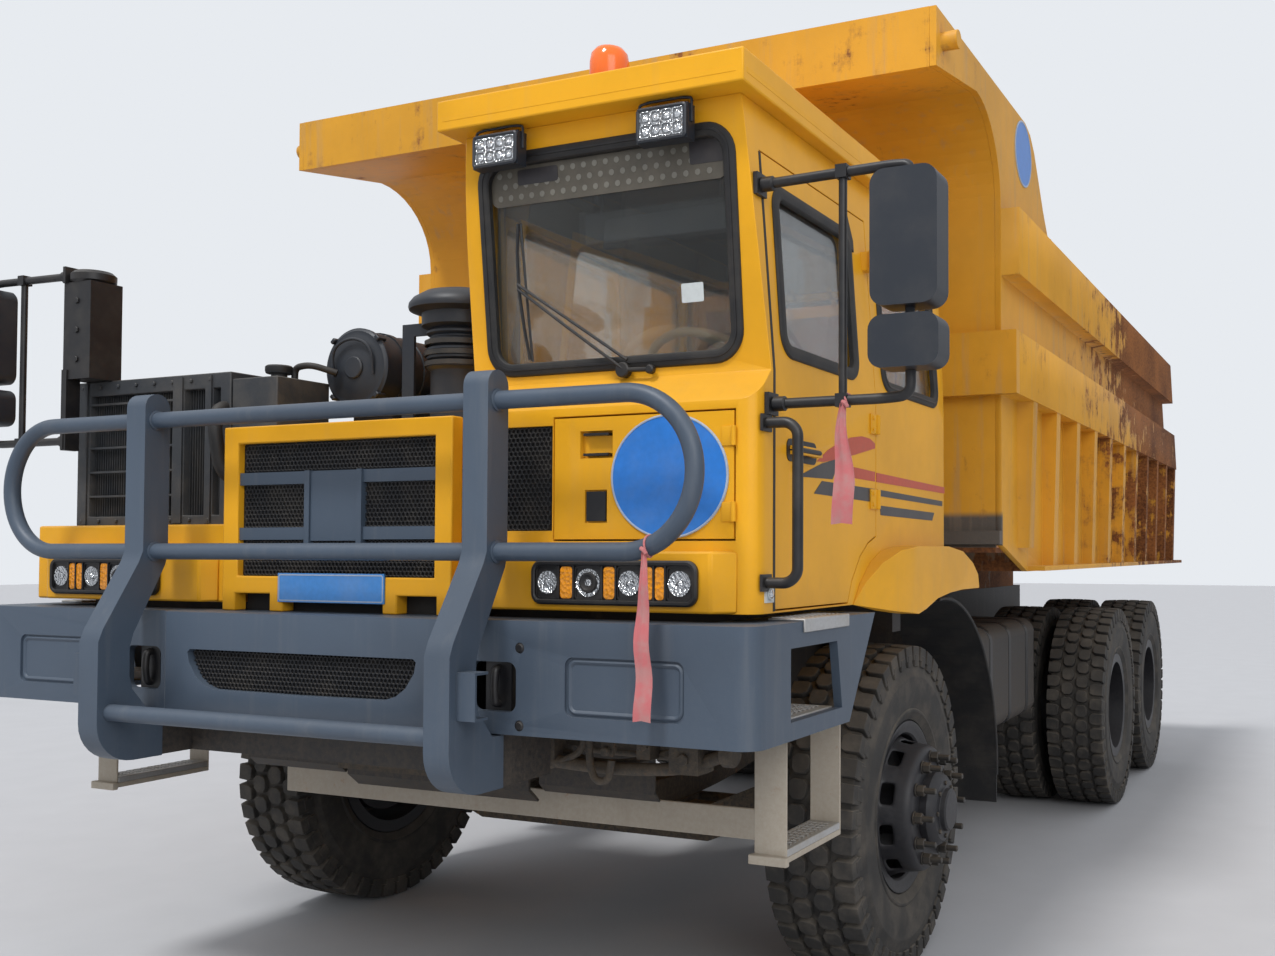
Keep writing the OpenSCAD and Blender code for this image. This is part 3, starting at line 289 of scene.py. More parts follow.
# Node trees
class Nodes:
    """Short calls for wiring one node tree"""

    def __init__(self, tree):
        self.tree = tree

    def add(self, kind, inputs=None, **settings):
        node = self.tree.nodes.new(kind)
        for key, value in settings.items():
            setattr(node, key, value)
        for key, value in (inputs or {}).items():
            self.put(node.inputs[key], value)
        return node

    def put(self, socket_in, value):
        if isinstance(value, bpy.types.NodeSocket):
            self.tree.links.new(value, socket_in)
        else:
            socket_in.default_value = value

    def math(self, how, a, b=None, clamp=False):
        values = {0: a} if b is None else {0: a, 1: b}
        return self.add("ShaderNodeMath", values, operation=how, use_clamp=clamp).outputs[0]

    def times(self, a, b, clamp=False):
        return self.math("MULTIPLY", a, b, clamp)

    def plus(self, a, b, clamp=False):
        return self.math("ADD", a, b, clamp)

    def less(self, a, b):
        return self.math("SUBTRACT", a, b)

    def ramp(self, value, low, high):
        """0 at low to 1 at high, with soft ends"""
        node = self.add("ShaderNodeMapRange", {"Value": value, "From Min": low, "From Max": high},
                        interpolation_type="SMOOTHSTEP")
        return node.outputs["Result"]

    def noise(self, vector, scale, detail=3.0, rough=0.55, stretch=None):
        if stretch:
            vector = self.add("ShaderNodeMapping", {"Vector": vector, "Scale": stretch}).outputs[0]
        values = {"Vector": vector, "Scale": scale, "Detail": detail, "Roughness": rough}
        return self.add("ShaderNodeTexNoise", values).outputs["Fac"]

    def mix(self, fac, a, b):
        return self.add("ShaderNodeMix", {"Factor": fac, 6: a, 7: b}, data_type="RGBA").outputs[2]

    def place(self, kind="Object"):
        return self.add("ShaderNodeTexCoord").outputs[kind]

    def split(self, vector):
        return self.add("ShaderNodeSeparateXYZ", {"Vector": vector}).outputs

    def vector(self, **parts):
        return self.add("ShaderNodeCombineXYZ", parts).outputs[0]

    def upward(self):
        """1 where the surface faces up, 0 where it is upright or faces down"""
        return self.math("MAXIMUM", self.split(self.place("Normal"))["Z"], 0.0)

    def bump(self, height, strength, distance):
        values = {"Height": height, "Strength": strength, "Distance": distance}
        return self.add("ShaderNodeBump", values).outputs["Normal"]


def rgb(r, g, b):
    return (r, g, b, 1.0)


def new_group(name, kind, inputs, outputs):
    """A node group with its inputs as (name, kind, value) and its outputs as (name, kind)"""
    group = bpy.data.node_groups.new(name, kind + "NodeTree")
    for label, what, value in inputs:
        s = group.interface.new_socket(name=label, in_out="INPUT", socket_type="NodeSocket" + what)
        if value is not None:
            s.default_value = value
    for label, what in outputs:
        group.interface.new_socket(name=label, in_out="OUTPUT", socket_type="NodeSocket" + what)
    n = Nodes(group)
    return group, n, n.add("NodeGroupInput").outputs


LAYERS = (("Color", "Color"), ("Roughness", "Float"), ("Height", "Float"))
EARTH, CLAY = (0.33, 0.26, 0.18), (0.25, 0.21, 0.16)


def weathered_group():
    """Paint with tone changes, rain streaks, road dust from below and rust patches"""
    colours = [("Paint", "Color", rgb(0.7, 0.35, 0.02)), ("Dust colour", "Color", rgb(*EARTH))]
    values = [(label, "Float", value) for label, value in (
        ("Dust", 0.3), ("Dust top", 1.6), ("Streaks", 0.3), ("Rust", 0.1), ("Rust size", 6.0), ("Gloss", 0.35))]
    g, n, i = new_group("weathered paint", "Shader", colours + values, LAYERS)
    pos = n.place()
    tone = n.noise(pos, 1.3, 5.0, 0.6)
    fine = n.noise(pos, 55.0, 6.0, 0.65)
    speck = n.noise(pos, 190.0, 2.0, 0.6)
    rain = n.noise(pos, 1.0, 5.0, 0.6, stretch=(16.0, 16.0, 1.2))
    deep = n.mix(0.6, i["Paint"], rgb(0.012, 0.007, 0.004))
    shade = n.mix(n.times(n.ramp(tone, 0.35, 0.7), 0.3), i["Paint"], deep)
    streak = n.times(n.ramp(rain, 0.52, 0.74), i["Streaks"])
    shade = n.mix(streak, shade, n.mix(0.55, shade, i["Dust colour"]))
    low = n.less(1.0, n.ramp(n.math("DIVIDE", n.split(pos)["Z"], i["Dust top"]), 0.35, 1.15))
    dust = n.plus(n.times(low, n.ramp(fine, 0.2, 0.75)), n.times(n.upward(), 0.9))
    dust = n.times(n.plus(dust, n.times(n.ramp(speck, 0.56, 0.72), 0.35)), i["Dust"], clamp=True)
    shade = n.mix(dust, shade, i["Dust colour"])
    patch = n.noise(pos, i["Rust size"], 9.0, 0.72)
    run = n.noise(pos, 1.0, 6.0, 0.65, stretch=(26.0, 26.0, 2.2))
    field = n.plus(n.times(patch, 0.72), n.times(run, 0.28))
    over = n.less(field, n.less(0.74, n.times(i["Rust"], 0.42)))
    rust = n.ramp(over, 0.0, 0.035)
    halo = n.times(n.ramp(over, -0.07, 0.03), 0.55)
    rust_tone = n.mix(n.ramp(n.plus(n.times(fine, 0.5), n.times(tone, 0.5)), 0.35, 0.62),
                      rgb(0.085, 0.030, 0.013), rgb(0.33, 0.125, 0.036))
    shade = n.mix(halo, shade, rgb(0.30, 0.13, 0.035))
    shade = n.mix(rust, shade, rust_tone)
    rough = n.plus(i["Gloss"], n.plus(n.times(dust, 0.45), n.times(fine, 0.08)))
    rough = n.math("MAXIMUM", n.math("MINIMUM", rough, 0.95), n.times(rust, 0.88))
    height = n.plus(n.times(fine, 0.25), n.times(n.less(1.0, rust), n.ramp(speck, 0.2, 0.9)))
    n.add("NodeGroupOutput", {"Color": shade, "Roughness": rough, "Height": height})
    return g


def grain_group():
    """Fine moulded or cast grain with dust lying in it"""
    g, n, i = new_group("grain and dust", "Shader",
                        [("Base", "Color", rgb(0.04, 0.04, 0.04)), ("Dust colour", "Color", rgb(*CLAY)),
                         ("Dust", "Float", 0.2), ("Grain size", "Float", 400.0), ("Roughness", "Float", 0.5)], LAYERS)
    pos = n.place()
    grain = n.noise(pos, i["Grain size"], 3.0, 0.5)
    cloud = n.noise(pos, 7.0, 6.0, 0.65)
    dust = n.plus(n.times(n.ramp(cloud, 0.38, 0.75), 0.55), n.times(n.upward(), 0.6))
    dust = n.times(dust, i["Dust"], clamp=True)
    shade = n.mix(dust, n.mix(n.times(grain, 0.25), i["Base"], rgb(0.0, 0.0, 0.0)), i["Dust colour"])
    n.add("NodeGroupOutput", {"Color": shade, "Roughness": n.plus(i["Roughness"], n.times(dust, 0.4), clamp=True),
                              "Height": n.plus(grain, n.times(cloud, 0.4))})
    return g


weathered = weathered_group()
grained = grain_group()


# Materials
def new_material(name, plain):
    """A material with its plain shader values, its wiring and the shader's inputs"""
    mat = bpy.data.materials.new(name)
    mat.use_nodes = True
    inputs = mat.node_tree.nodes["Principled BSDF"].inputs
    for key, value in plain.items():
        inputs[key.replace("_", " ")].default_value = value
    return mat, Nodes(mat.node_tree), inputs


def surface(name, group, values, bump, reach=0.002, **plain):
    mat, n, inputs = new_material(name, plain)
    g = n.add("ShaderNodeGroup", values, node_tree=group).outputs
    n.put(inputs["Base Color"], g["Color"])
    n.put(inputs["Roughness"], g["Roughness"])
    n.put(inputs["Normal"], n.bump(g["Height"], bump, reach))
    return mat


def painted(name, paint, dust, top, streaks, rust, gloss, bump, size=6.0, earth=EARTH, **other):
    """Weathered paint; top is the height in metres that road dust reaches, size the rust's scale"""
    values = {"Paint": rgb(*paint), "Dust colour": rgb(*earth), "Dust": dust, "Dust top": top,
              "Streaks": streaks, "Rust": rust, "Rust size": size, "Gloss": gloss}
    return surface(name, weathered, values, bump, **other)


def grainy(name, base, dust, size, rough, bump, earth=CLAY, **other):
    """Plastic, rubber, film or cast metal; size is the grain's scale"""
    values = {"Base": rgb(*base), "Dust colour": rgb(*earth), "Dust": dust, "Grain size": size, "Roughness": rough}
    return surface(name, grained, values, bump, **other)


def lensed(name, color, rough, cells=0.0, **plain):
    """A clear, silvered or plain glossy finish, with a fluted surface where cells gives its scale"""
    mat, n, inputs = new_material(name, plain)
    pos = n.place()
    smear = n.ramp(n.noise(pos, 9.0, 5.0, 0.6), 0.45, 0.8)
    color = rgb(*color)
    n.put(inputs["Base Color"], n.mix(n.times(smear, 0.35), color, n.mix(0.5, color, rgb(0.3, 0.26, 0.2))))
    n.put(inputs["Roughness"], n.plus(rough, n.times(smear, 0.18)))
    if cells:
        relief = n.add("ShaderNodeTexVoronoi", {"Vector": pos, "Scale": cells}).outputs["Distance"]
        n.put(inputs["Normal"], n.bump(relief, 0.9, 0.006))
    return mat


def woven(name, scale, distortion, worn, span, fresh, faded, bump, reach, **plain):
    """Cloth with a plain weave and faded places"""
    mat, n, inputs = new_material(name, plain)
    pos = n.place()
    weave = n.plus(*(n.add("ShaderNodeTexWave", {"Vector": pos, "Scale": scale, "Distortion": distortion},
                           bands_direction=way).outputs["Fac"] for way in "XZ"))
    n.put(inputs["Base Color"], n.mix(n.ramp(n.noise(pos, worn, 5.0), *span), rgb(*fresh), rgb(*faded)))
    n.put(inputs["Normal"], n.bump(weave, bump, reach))
    return mat


# painted: colour, dust, dust top, streaks, rust, gloss, bump
BED_YELLOW = (0.72, 0.345, 0.028)
cab_paint = painted("cab paint", (0.80, 0.385, 0.016), 0.12, 2.0, 0.12, 0.0, 0.30, 0.04,
                    Coat_Weight=0.05, Coat_Roughness=0.12, Specular_IOR_Level=0.16)
slate_paint = painted("slate bumper paint", (0.056, 0.080, 0.115), 0.10, 1.6, 0.25, 0.03, 0.42, 0.06, 9.0,
                      (0.19, 0.19, 0.185))
black_paint = painted("chassis black", (0.012, 0.012, 0.014), 0.55, 1.6, 0.3, 0.1, 0.5, 0.15,
                      earth=(0.14, 0.11, 0.08))
steel_paint = painted("axle steel", (0.03, 0.028, 0.026), 0.8, 1.6, 0.3, 0.25, 0.6, 0.2, 11.0, (0.17, 0.13, 0.09))
strap_paint = painted("dusty step steel", (0.44, 0.39, 0.32), 0.4, 1.9, 0.7, 0.24, 0.6, 0.12, 14.0,
                      (0.33, 0.27, 0.20))
rim_paint = painted("wheel black", (0.010, 0.011, 0.015), 0.22, 1.4, 0.1, 0.04, 0.38, 0.1, earth=(0.07, 0.06, 0.055))
red_bolt = painted("rusted bolt", (0.20, 0.045, 0.02), 0.2, 1.6, 0.1, 0.7, 0.7, 0.3, 30.0)
bed_steel = painted("scoured bed steel", (0.20, 0.16, 0.13), 0.5, 3.0, 0.6, 0.75, 0.6, 0.3, 2.2, (0.30, 0.24, 0.17),
                    reach=0.004)

# grainy: colour, dust, grain size, roughness, bump
black_metal = grainy("bracket black", (0.010, 0.010, 0.012), 0.16, 260.0, 0.42, 0.05)
mirror_plastic = grainy("mirror plastic", (0.016, 0.021, 0.030), 0.10, 900.0, 0.46, 0.12, reach=0.0006)
rubber = grainy("black rubber", (0.009, 0.009, 0.010), 0.16, 300.0, 0.6, 0.2)
tyre_rubber = grainy("tyre rubber", (0.030, 0.028, 0.026), 0.62, 160.0, 0.78, 0.35, (0.20, 0.17, 0.135))
cab_plastic = grainy("cab plastic", (0.035, 0.035, 0.038), 0.2, 700.0, 0.6, 0.1)
radiator_gray = grainy("radiator gray", (0.030, 0.034, 0.040), 0.4, 120.0, 0.6, 0.2, (0.20, 0.17, 0.13))
mesh_black = grainy("mesh black", (0.030, 0.032, 0.037), 0.35, 300.0, 0.5, 0.05)
bare_plate = grainy("chequer aluminium", (0.52, 0.52, 0.52), 0.7, 90.0, 0.42, 0.1, (0.32, 0.27, 0.20), Metallic=0.6)
blue_sign = grainy("blue sign", (0.02, 0.20, 0.66), 0.25, 40.0, 0.28, 0.05, (0.25, 0.3, 0.38))
pale_rim = grainy("pale sign rim", (0.42, 0.50, 0.62), 0.2, 60.0, 0.35, 0.03)
stripe_red = grainy("red stripe film", (0.55, 0.06, 0.015), 0.2, 60.0, 0.3, 0.03)
stripe_dark = grainy("dark stripe film", (0.035, 0.032, 0.035), 0.2, 60.0, 0.3, 0.03)
# painted shade: a near-black for places that are dark only because light doesn't reach them
shade_black = grainy("near-black painted shade", (0.004, 0.004, 0.005), 0.10, 90.0, 0.8, 0.05)
lining_gray = grainy("cab lining", (0.16, 0.145, 0.12), 0.25, 500.0, 0.7, 0.1)
tan_plastic = grainy("wheel rim grip", (0.42, 0.30, 0.17), 0.1, 500.0, 0.5, 0.1)
mint_plastic = grainy("dash top", (0.22, 0.30, 0.26), 0.3, 600.0, 0.6, 0.1)
strip_film = grainy("sun strip film", (0.10, 0.088, 0.068), 0.3, 60.0, 0.5, 0.02)
dot_film = grainy("sun strip dots", (0.20, 0.19, 0.16), 0.2, 60.0, 0.4, 0.02)
lamp_back = grainy("lamp back", (0.20, 0.21, 0.22), 0.3, 120.0, 0.35, 0.1, Metallic=0.4)
pale_film = grainy("pale film", (0.62, 0.66, 0.66), 0.15, 60.0, 0.4, 0.02)
blue_plate = grainy("blue plate", (0.06, 0.27, 0.68), 0.35, 55.0, 0.35, 0.05, (0.28, 0.33, 0.42))
nut_steel = grainy("nut steel", (0.05, 0.048, 0.045), 0.5, 200.0, 0.45, 0.1, (0.2, 0.15, 0.1), Metallic=0.5)

glass = lensed("cab glass", (0.80, 0.86, 0.84), 0.01, Alpha=0.65, IOR=1.5, Transmission_Weight=1.0)
side_glass = lensed("side glass", (0.80, 0.86, 0.86), 0.01, Alpha=0.85, IOR=1.75, Transmission_Weight=1.0)
clear_lens = lensed("lamp lens", (0.66, 0.68, 0.70), 0.10, 120.0, Metallic=0.85)
amber_lens = lensed("amber lens", (0.82, 0.30, 0.015), 0.14, 75.0)
red_lens = lensed("red lens", (0.42, 0.012, 0.010), 0.14, 210.0)
orange_dome = lensed("orange dome", (0.86, 0.16, 0.015), 0.16)
hoist_chrome = lensed("hoist chrome", (0.55, 0.55, 0.56), 0.12, Metallic=1.0)
silvered = lensed("silvered reflector", (0.72, 0.73, 0.75), 0.10, Metallic=1.0)
seat_cover = woven("red seat cover", 150.0, 1.5, 5.0, (0.35, 0.75), (0.36, 0.045, 0.045), (0.22, 0.03, 0.03),
                   0.3, 0.001, Roughness=0.85, Sheen_Weight=0.3)
ribbon_cloth = woven("faded ribbon", 190.0, 0.0, 24.0, (0.35, 0.7), (0.50, 0.125, 0.13), (0.43, 0.19, 0.18),
                     0.25, 0.0008, Roughness=0.7, Sheen_Weight=0.2)


def bed_material():
    """Bed paint: rusty along its top and towards the tail, gray at the foot of the front wall"""
    mat = painted("bed paint", BED_YELLOW, 0.20, 2.2, 0.55, 0.1, 0.42, 0.12, 4.6, Specular_IOR_Level=0.22)
    n = Nodes(mat.node_tree)
    g = next(x for x in mat.node_tree.nodes if x.bl_idname == "ShaderNodeGroup").inputs
    pos = n.split(n.place())
    back = n.ramp(pos["Y"], -1.4, 3.6)
    rust = n.plus(n.times(back, 0.50), n.times(n.times(back, n.ramp(pos["Z"], 2.2, 3.35)), 0.34))
    lip = n.times(n.ramp(pos["Z"], 3.50, 3.56), n.less(1.0, n.ramp(pos["Y"], -2.2, -1.9)))
    n.put(g["Rust"], n.plus(n.plus(rust, 0.245), n.times(lip, 0.07)))
    foot = n.less(1.0, n.ramp(pos["Z"], 1.90, 1.94))
    ahead = n.less(1.0, n.ramp(pos["Y"], -1.64, -1.62))
    n.put(g["Paint"], n.mix(n.times(foot, ahead), rgb(*BED_YELLOW), rgb(0.10, 0.09, 0.08)))
    return mat


bed_paint = bed_material()


# Geometry Nodes trees
def evaluated(obj):
    """The mesh of obj with its modifiers applied"""
    graph = bpy.context.evaluated_depsgraph_get()
    return bpy.data.meshes.new_from_object(obj.evaluated_get(graph))


def bake(tree, values, name, material, body="root"):
    """Runs a Geometry Nodes tree once and keeps the result as a plain mesh"""
    obj = link("pattern", bpy.data.meshes.new("pattern"))
    mod = obj.modifiers.new("pattern", "NODES")
    mod.node_group = tree
    ids = {s.name: s.identifier for s in tree.interface.items_tree if getattr(s, "in_out", "") == "INPUT"}
    for key, value in {**values, "Finish": material}.items():
        mod[ids[key]] = value
    bpy.context.view_layer.update()
    mesh = evaluated(obj)
    mesh.name = name
    bpy.data.objects.remove(obj, do_unlink=True)
    return finish_mesh(name, mesh, material, body)


def copied(n, points, unit, turn, laid, finish):
    """Copies of the unit mesh at the points, turned, laid in place and painted"""
    shape = n.add("GeometryNodeObjectInfo", {"Object": unit}).outputs["Geometry"]
    copies = n.add("GeometryNodeInstanceOnPoints", {"Points": points, "Instance": shape, "Rotation": turn})
    real = n.add("GeometryNodeRealizeInstances", {"Geometry": copies.outputs[0]})
    moved = n.add("GeometryNodeTransform", {"Geometry": real.outputs[0], **laid})
    coated = n.add("GeometryNodeSetMaterial", {"Geometry": moved.outputs[0], "Material": finish})
    n.add("NodeGroupOutput", {"Geometry": coated.outputs[0]})


def ring_tree(name, unit):
    """Sets copies of the unit mesh round an X axis, evenly, each turned to face outwards"""
    t, n, i = new_group(name, "Geometry",
                        (("Count", "Int", 12), ("Centre", "Vector", (0, 0, 0)), ("Phase", "Float", 0.0),
                         ("Finish", "Material", None)), (("Geometry", "Geometry"),))
    line = n.add("GeometryNodeMeshLine", {"Count": i["Count"], "Offset": (0, 0, 0)})
    index = n.add("GeometryNodeInputIndex").outputs[0]
    turn = n.plus(n.times(n.math("DIVIDE", index, i["Count"]), 2 * math.pi), i["Phase"])
    copied(n, line.outputs["Mesh"], unit, n.vector(X=turn), {"Translation": i["Centre"]}, i["Finish"])
    return t


def field_tree(name, unit):
    """Sets copies of the unit mesh in staggered rows over a rectangle in X and Z"""
    t, n, i = new_group(name, "Geometry",
                        (("Columns", "Int", 10), ("Rows", "Int", 10), ("Pitch", "Float", 0.02),
                         ("Row pitch", "Float", 0.017), ("Stagger", "Float", 0.5), ("Corner", "Vector", (0, 0, 0)),
                         ("Lean", "Float", 0.0), ("Flat", "Float", 0.0), ("Finish", "Material", None)),
                        (("Geometry", "Geometry"),))
    line = n.add("GeometryNodeMeshLine", {"Count": n.times(i["Columns"], i["Rows"]), "Offset": (0, 0, 0)})
    index = n.add("GeometryNodeInputIndex").outputs[0]
    row = n.math("FLOOR", n.math("DIVIDE", n.plus(index, 0.5), i["Columns"]))
    column = n.less(index, n.times(row, i["Columns"]))
    odd = n.math("MODULO", row, 2.0)
    x = n.times(n.plus(column, n.times(odd, i["Stagger"])), i["Pitch"])
    spot = n.vector(X=x, Z=n.times(row, i["Row pitch"]))
    place = n.add("GeometryNodeSetPosition", {"Geometry": line.outputs["Mesh"], "Position": spot})
    tilt = n.times(n.less(n.times(odd, 2.0), 1.0), i["Lean"])
    copied(n, place.outputs[0], unit, n.vector(Y=tilt),
           {"Translation": i["Corner"], "Rotation": n.vector(X=i["Flat"])}, i["Finish"])
    return t


units = []


def unit_object(name, bm):
    """A small mesh about the origin, for the trees to copy; it is removed at the end"""
    units.append(link(name, mesh_from(bm, name)))
    return units[-1]


def unit_of(name, build):
    """A unit built with the calls of Shape, which count from the front axle"""
    s = Shape()
    build(s)
    obj = unit_object(name, s.bm)
    obj.data.transform(Matrix.Translation(-at(0, 0, 0)))
    return obj


def honeycomb_cell(size, wall, depth):
    """One hexagonal ring of expanded mesh, its hole along Y"""
    bm = bmesh.new()
    rings = []
    for r, d in ((size / 2 + 0.6, 0.0), (size / 2 - wall, 0.0), (size / 2 - wall, depth), (size / 2 + 0.6, depth)):
        turns = [math.radians(60 * k + 30) for k in range(6)]
        rings.append([bm.verts.new((r / 1000 * math.cos(a), d / 1000, r / 1000 * math.sin(a))) for a in turns])
    skin(bm, rings)
    bmesh.ops.recalc_face_normals(bm, faces=bm.faces)
    return unit_object("honeycomb_cell", bm)


def mesh_panel(name, tree, x, z, y, pitch):
    """Honeycomb mesh centred in the rectangle x by z, at y"""
    step, up = pitch * math.cos(math.radians(30)), pitch * 0.75
    columns = max(1, int((x[1] - x[0] - pitch) / step))
    rows = max(1, int((z[1] - z[0] - pitch) / up) + 1)
    spare_x = (x[1] - x[0]) - (columns + 0.5) * step
    spare_z = (z[1] - z[0]) - (rows - 1) * up
    corner = at(x[0] + spare_x / 2 + step / 2, y, z[0] + spare_z / 2)
    return bake(tree, {"Columns": columns, "Rows": rows, "Pitch": step / 1000, "Row pitch": up / 1000,
                       "Corner": corner}, name, mesh_black)


# Tyres
def tyre_profile():
    r, w, b = TYRE_R, TYRE_W / 2, BEAD_R + 0.3
    side = [(b, 0), (b, w - 46), (b + 37, w - 46), (b + 40, w - 30), (b + 66, w - 15), (b + 74, w - 9),
            (b + 82, w - 9),
            (b + 88, w - 14), (b + 120, w - 5), (b + 165, w - 0.5), (b + 205, w - 2), (b + 214, w - 0.5),
            (b + 222, w - 0.5), (b + 230, w - 5), (b + 262, w - 10), (b + 290, w - 17), (r - 36, w - 24),
            (r - 30, w - 40), (r - 26, w * 0.45), (r - 24, 0)]
    return side + [(p[0], -p[1]) for p in side[-2:0:-1]]


def tread_lugs():
    """One pitch of the tread about an X axle: shoulder lugs, staggered middle blocks, buttresses below the shoulder"""
    s = Shape()
    low, top, half = TYRE_R - 42, TYRE_R, TYRE_W / 2

    def height(x, y, radius):
        """The tread's surface over (x, y), crowned towards the shoulders"""
        crown = 7.0 * (x / half) ** 2 if radius > low else 0.0
        return math.sqrt(max((radius - crown) ** 2 - y * y, 1.0))

    def lug(outline, a, inner, outer, taper=0.94):
        """outline in (across, along) millimetres, a turn round the axle in degrees, and the two radii"""
        part = bmesh.new()
        cx, cy = (sum(p[i] for p in outline) / len(outline) for i in (0, 1))
        rings = []
        for radius, k in ((inner, 1.0), (outer, taper)):
            shrunk = [(cx + (p[0] - cx) * k, cy + (p[1] - cy) * k) for p in outline]
            rings.append([part.verts.new((x / 1000, y / 1000, height(x, y, radius) / 1000)) for x, y in shrunk])
        capped(part, *rings)
        bmesh.ops.rotate(part, cent=(0, 0, 0), matrix=Matrix.Rotation(math.radians(a), 3, "X"), verts=part.verts)
        s.take(part, edge=2.5, steps=1)

    step = 360.0 / LUGS
    shoulder = [(98, -25), (118, -38), (half - 3, -41), (half - 3, 33), (122, 38), (100, 26)]
    middle = [(7, -19), (26, -39), (70, -41), (88, -24), (86, 20), (66, 40), (24, 40), (8, 18)]
    rib = [(half - 30, -30), (half - 1, -28), (half - 1, 24), (half - 30, 26)]
    for sign, turn in ((1, 0.0), (-1, 0.5)):
        lug([(sign * x, sign * y) for x, y in shoulder], step * turn, low - 26, top)
        lug([(sign * x, sign * y) for x, y in middle], step * (turn + 0.5), low, top)
        lug([(sign * x, sign * y) for x, y in rib], step * turn, top - 92, top - 36, 0.9)
    return unit_object("tread_pitch", s.bm)


tread_tree = ring_tree("tread round the tyre", tread_lugs())


def tyre(name, node, body, centres, y):
    """Carcasses turned about the axle with their tread copied round them, one or two side by side"""
    s = Shape()
    for k, cx in enumerate(centres):
        s.turned(tyre_profile(), "X", (cx, y, TYRE_R), n=88)
        lugs = bake(tread_tree, {"Count": LUGS, "Centre": at(cx, y, TYRE_R), "Phase": 0.03 + 0.4 * k},
                    "lugs", tyre_rubber, body)
        s.bm.from_mesh(lugs.data)
        bpy.data.objects.remove(lugs, do_unlink=True)
    return s.done(name, tyre_rubber, body, "tyre_rubber", (node,), 30)


for side, sign in SIDES:
    tyre("front_tyre_" + side, "tyre_front_" + side, "wheel_front_" + side, [sign * FRONT_X], 0)
    for axle, y in (("mid", MID_Y), ("rear", REAR_Y)):
        tyre(f"{axle}_tyres_{side}", f"tyres_{axle}_{side}", f"wheels_{axle}_{side}",
             [sign * (REAR_X + TWIN / 2), sign * (REAR_X - TWIN / 2)], y)


# Finishes of the CAD nodes; the names not listed follow by their first letters
FINISH = {name: finish for finish, names in (
    (black_paint, "chassis cross_members side_tanks hoist_barrels"), (bed_steel, "bed_floor"),
    (steel_paint, "front_axle leaf_springs drive_axles engine knuckle_left knuckle_right tie_rod"),
    (bare_plate, "step_treads"), (strap_paint, "hanging_steps under_plate"), (rubber, "mudguards"),
    (glass, "cab_windows"), (side_glass, "door_glass"), (cab_plastic, "cab_interior steering_wheel seat_pads"),
    (black_metal, "wipers lamps mirror_arms"), (orange_dome, "beacon"), (mirror_plastic, "mirror_heads air_intake"),
    (radiator_gray, "radiator"), (hoist_chrome, "hoist_stage_1 hoist_stage_2 hoist_rods"),
    (mesh_black, "black_mesh")) for name in names.split()}
for name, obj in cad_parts.items():
    families = (("rim", rim_paint), ("tyre", tyre_rubber), ("bed", bed_paint), ("", cab_paint))
    finish = FINISH.get(name) or next(paint for start, paint in families if name.startswith(start))
    for slot in obj.material_slots:
        slot.material = finish
    if not obj.material_slots:
        obj.data.materials.append(finish)

for node, finish, body, width, steps in (
        ("bumper", slate_paint, "root", 14, 3), ("bull_guard", slate_paint, "root", 9, 3),
        ("cab_shell", cab_paint, "root", 6, 2), ("cab_roof", cab_paint, "root", 14, 3),
        ("cab_door", cab_paint, "cab_door", 4, 2), ("storage_lid", cab_paint, "storage_lid", 3, 2),
        ("grille_frame", cab_paint, "root", 6, 2), ("lamp_panels", cab_paint, "root", 8, 2),
        ("right_deck", cab_paint, "root", 8, 2), ("engine_hood", cab_paint, "root", 8, 2),
        ("fenders", cab_paint, "root", 18, 4), ("bed_sides", bed_paint, "bed", 5, 1)):
    softened(node, finish, body, width, steps)


# Places on the skin, out millimetres in front of it
def screen_at(x, z, out):
    return (x, (-1500 - 90 * (z - 2300) / 837 if z >= 2300 else -1600 + max(0.0, z - 2200)) - out, z)


def left_at(y, z, out):
    return (CAB_SIDE - 60 * max(0.0, z - 2300) / 837 + out, y, z)


def inner_at(y, z, out):
    return (490 - out, y, z)


def ahead_of(y):
    return lambda x, z, out: (x, y - out, z)


def behind(y):
    return lambda x, z, out: (x, y + out, z)


def above(z):
    return lambda x, y, out: (x, y, z + out)


def oval(cu, cv, a, b, n=40):
    return [(cu + a * math.cos(t), cv + b * math.sin(t)) for t in circle(n)]


def inside(p, outline):
    hit = False
    for i in range(len(outline)):
        (x1, y1), (x2, y2) = outline[i - 1], outline[i]
        if (y1 > p[1]) != (y2 > p[1]) and p[0] < (x2 - x1) * (p[1] - y1) / (y2 - y1) + x1:
            hit = not hit
    return hit


# Meshes, bars and plates of the front
comb = field_tree("honeycomb", honeycomb_cell(20, 1.7, 6))
for label, span in (("low", (1650, 1781)), ("middle", (1823, 1979)), ("high", (2021, 2128))):
    mesh_panel("grille_mesh_" + label, comb, (-451, 451), span, -1634, 20)
mesh_panel("cab_front_mesh", comb, (641, 882), (1807, 2145), -1592.5, 20)
nose_mesh = mesh_panel("bumper_mesh", comb, (-520, 520), (1246, 1404), -1783, 20)
half = [(500, 1397), (514, 1385), (507, 1350), (472, 1298), (432, 1270), (382, 1256)]
opening = half + [(-x, z) for x, z in half[::-1]]
bm = bmesh.new()
bm.from_mesh(nose_mesh.data)
gone = [f for f in bm.faces if not inside(f.calc_center_median().xz * 1000, opening)]
bmesh.ops.delete(bm, geom=gone, context="FACES")
bm.to_mesh(nose_mesh.data)
bm.free()

# Near-black plates behind the grille, cab-front and bumper meshes: painted shade in place of the dark space behind them
s = Shape()
s.block((-451.5, 451.5), (-1627, -1618), (1649.6, 2128.4))
s.block((640.5, 882.5), (-1586, -1582), (1806.5, 2145.5))
s.block((-540, 540), (-1776, -1767), (1240, 1410))
s.block((-458, 458), (-1600, -1592), (1440, 1640))
# near-black plates behind the bumper's channel, painted shade; between them the strip from 708 to 812 stays open
for inner, outer in ((560, 708), (812, 990)):
    for sign in (1, -1):
        s.block(sided(sign, inner, outer), (-1600, -1592), (1182, 1513))
s.done("mesh_backs", shade_black, slot="black_mesh", replaces=("black_mesh",))

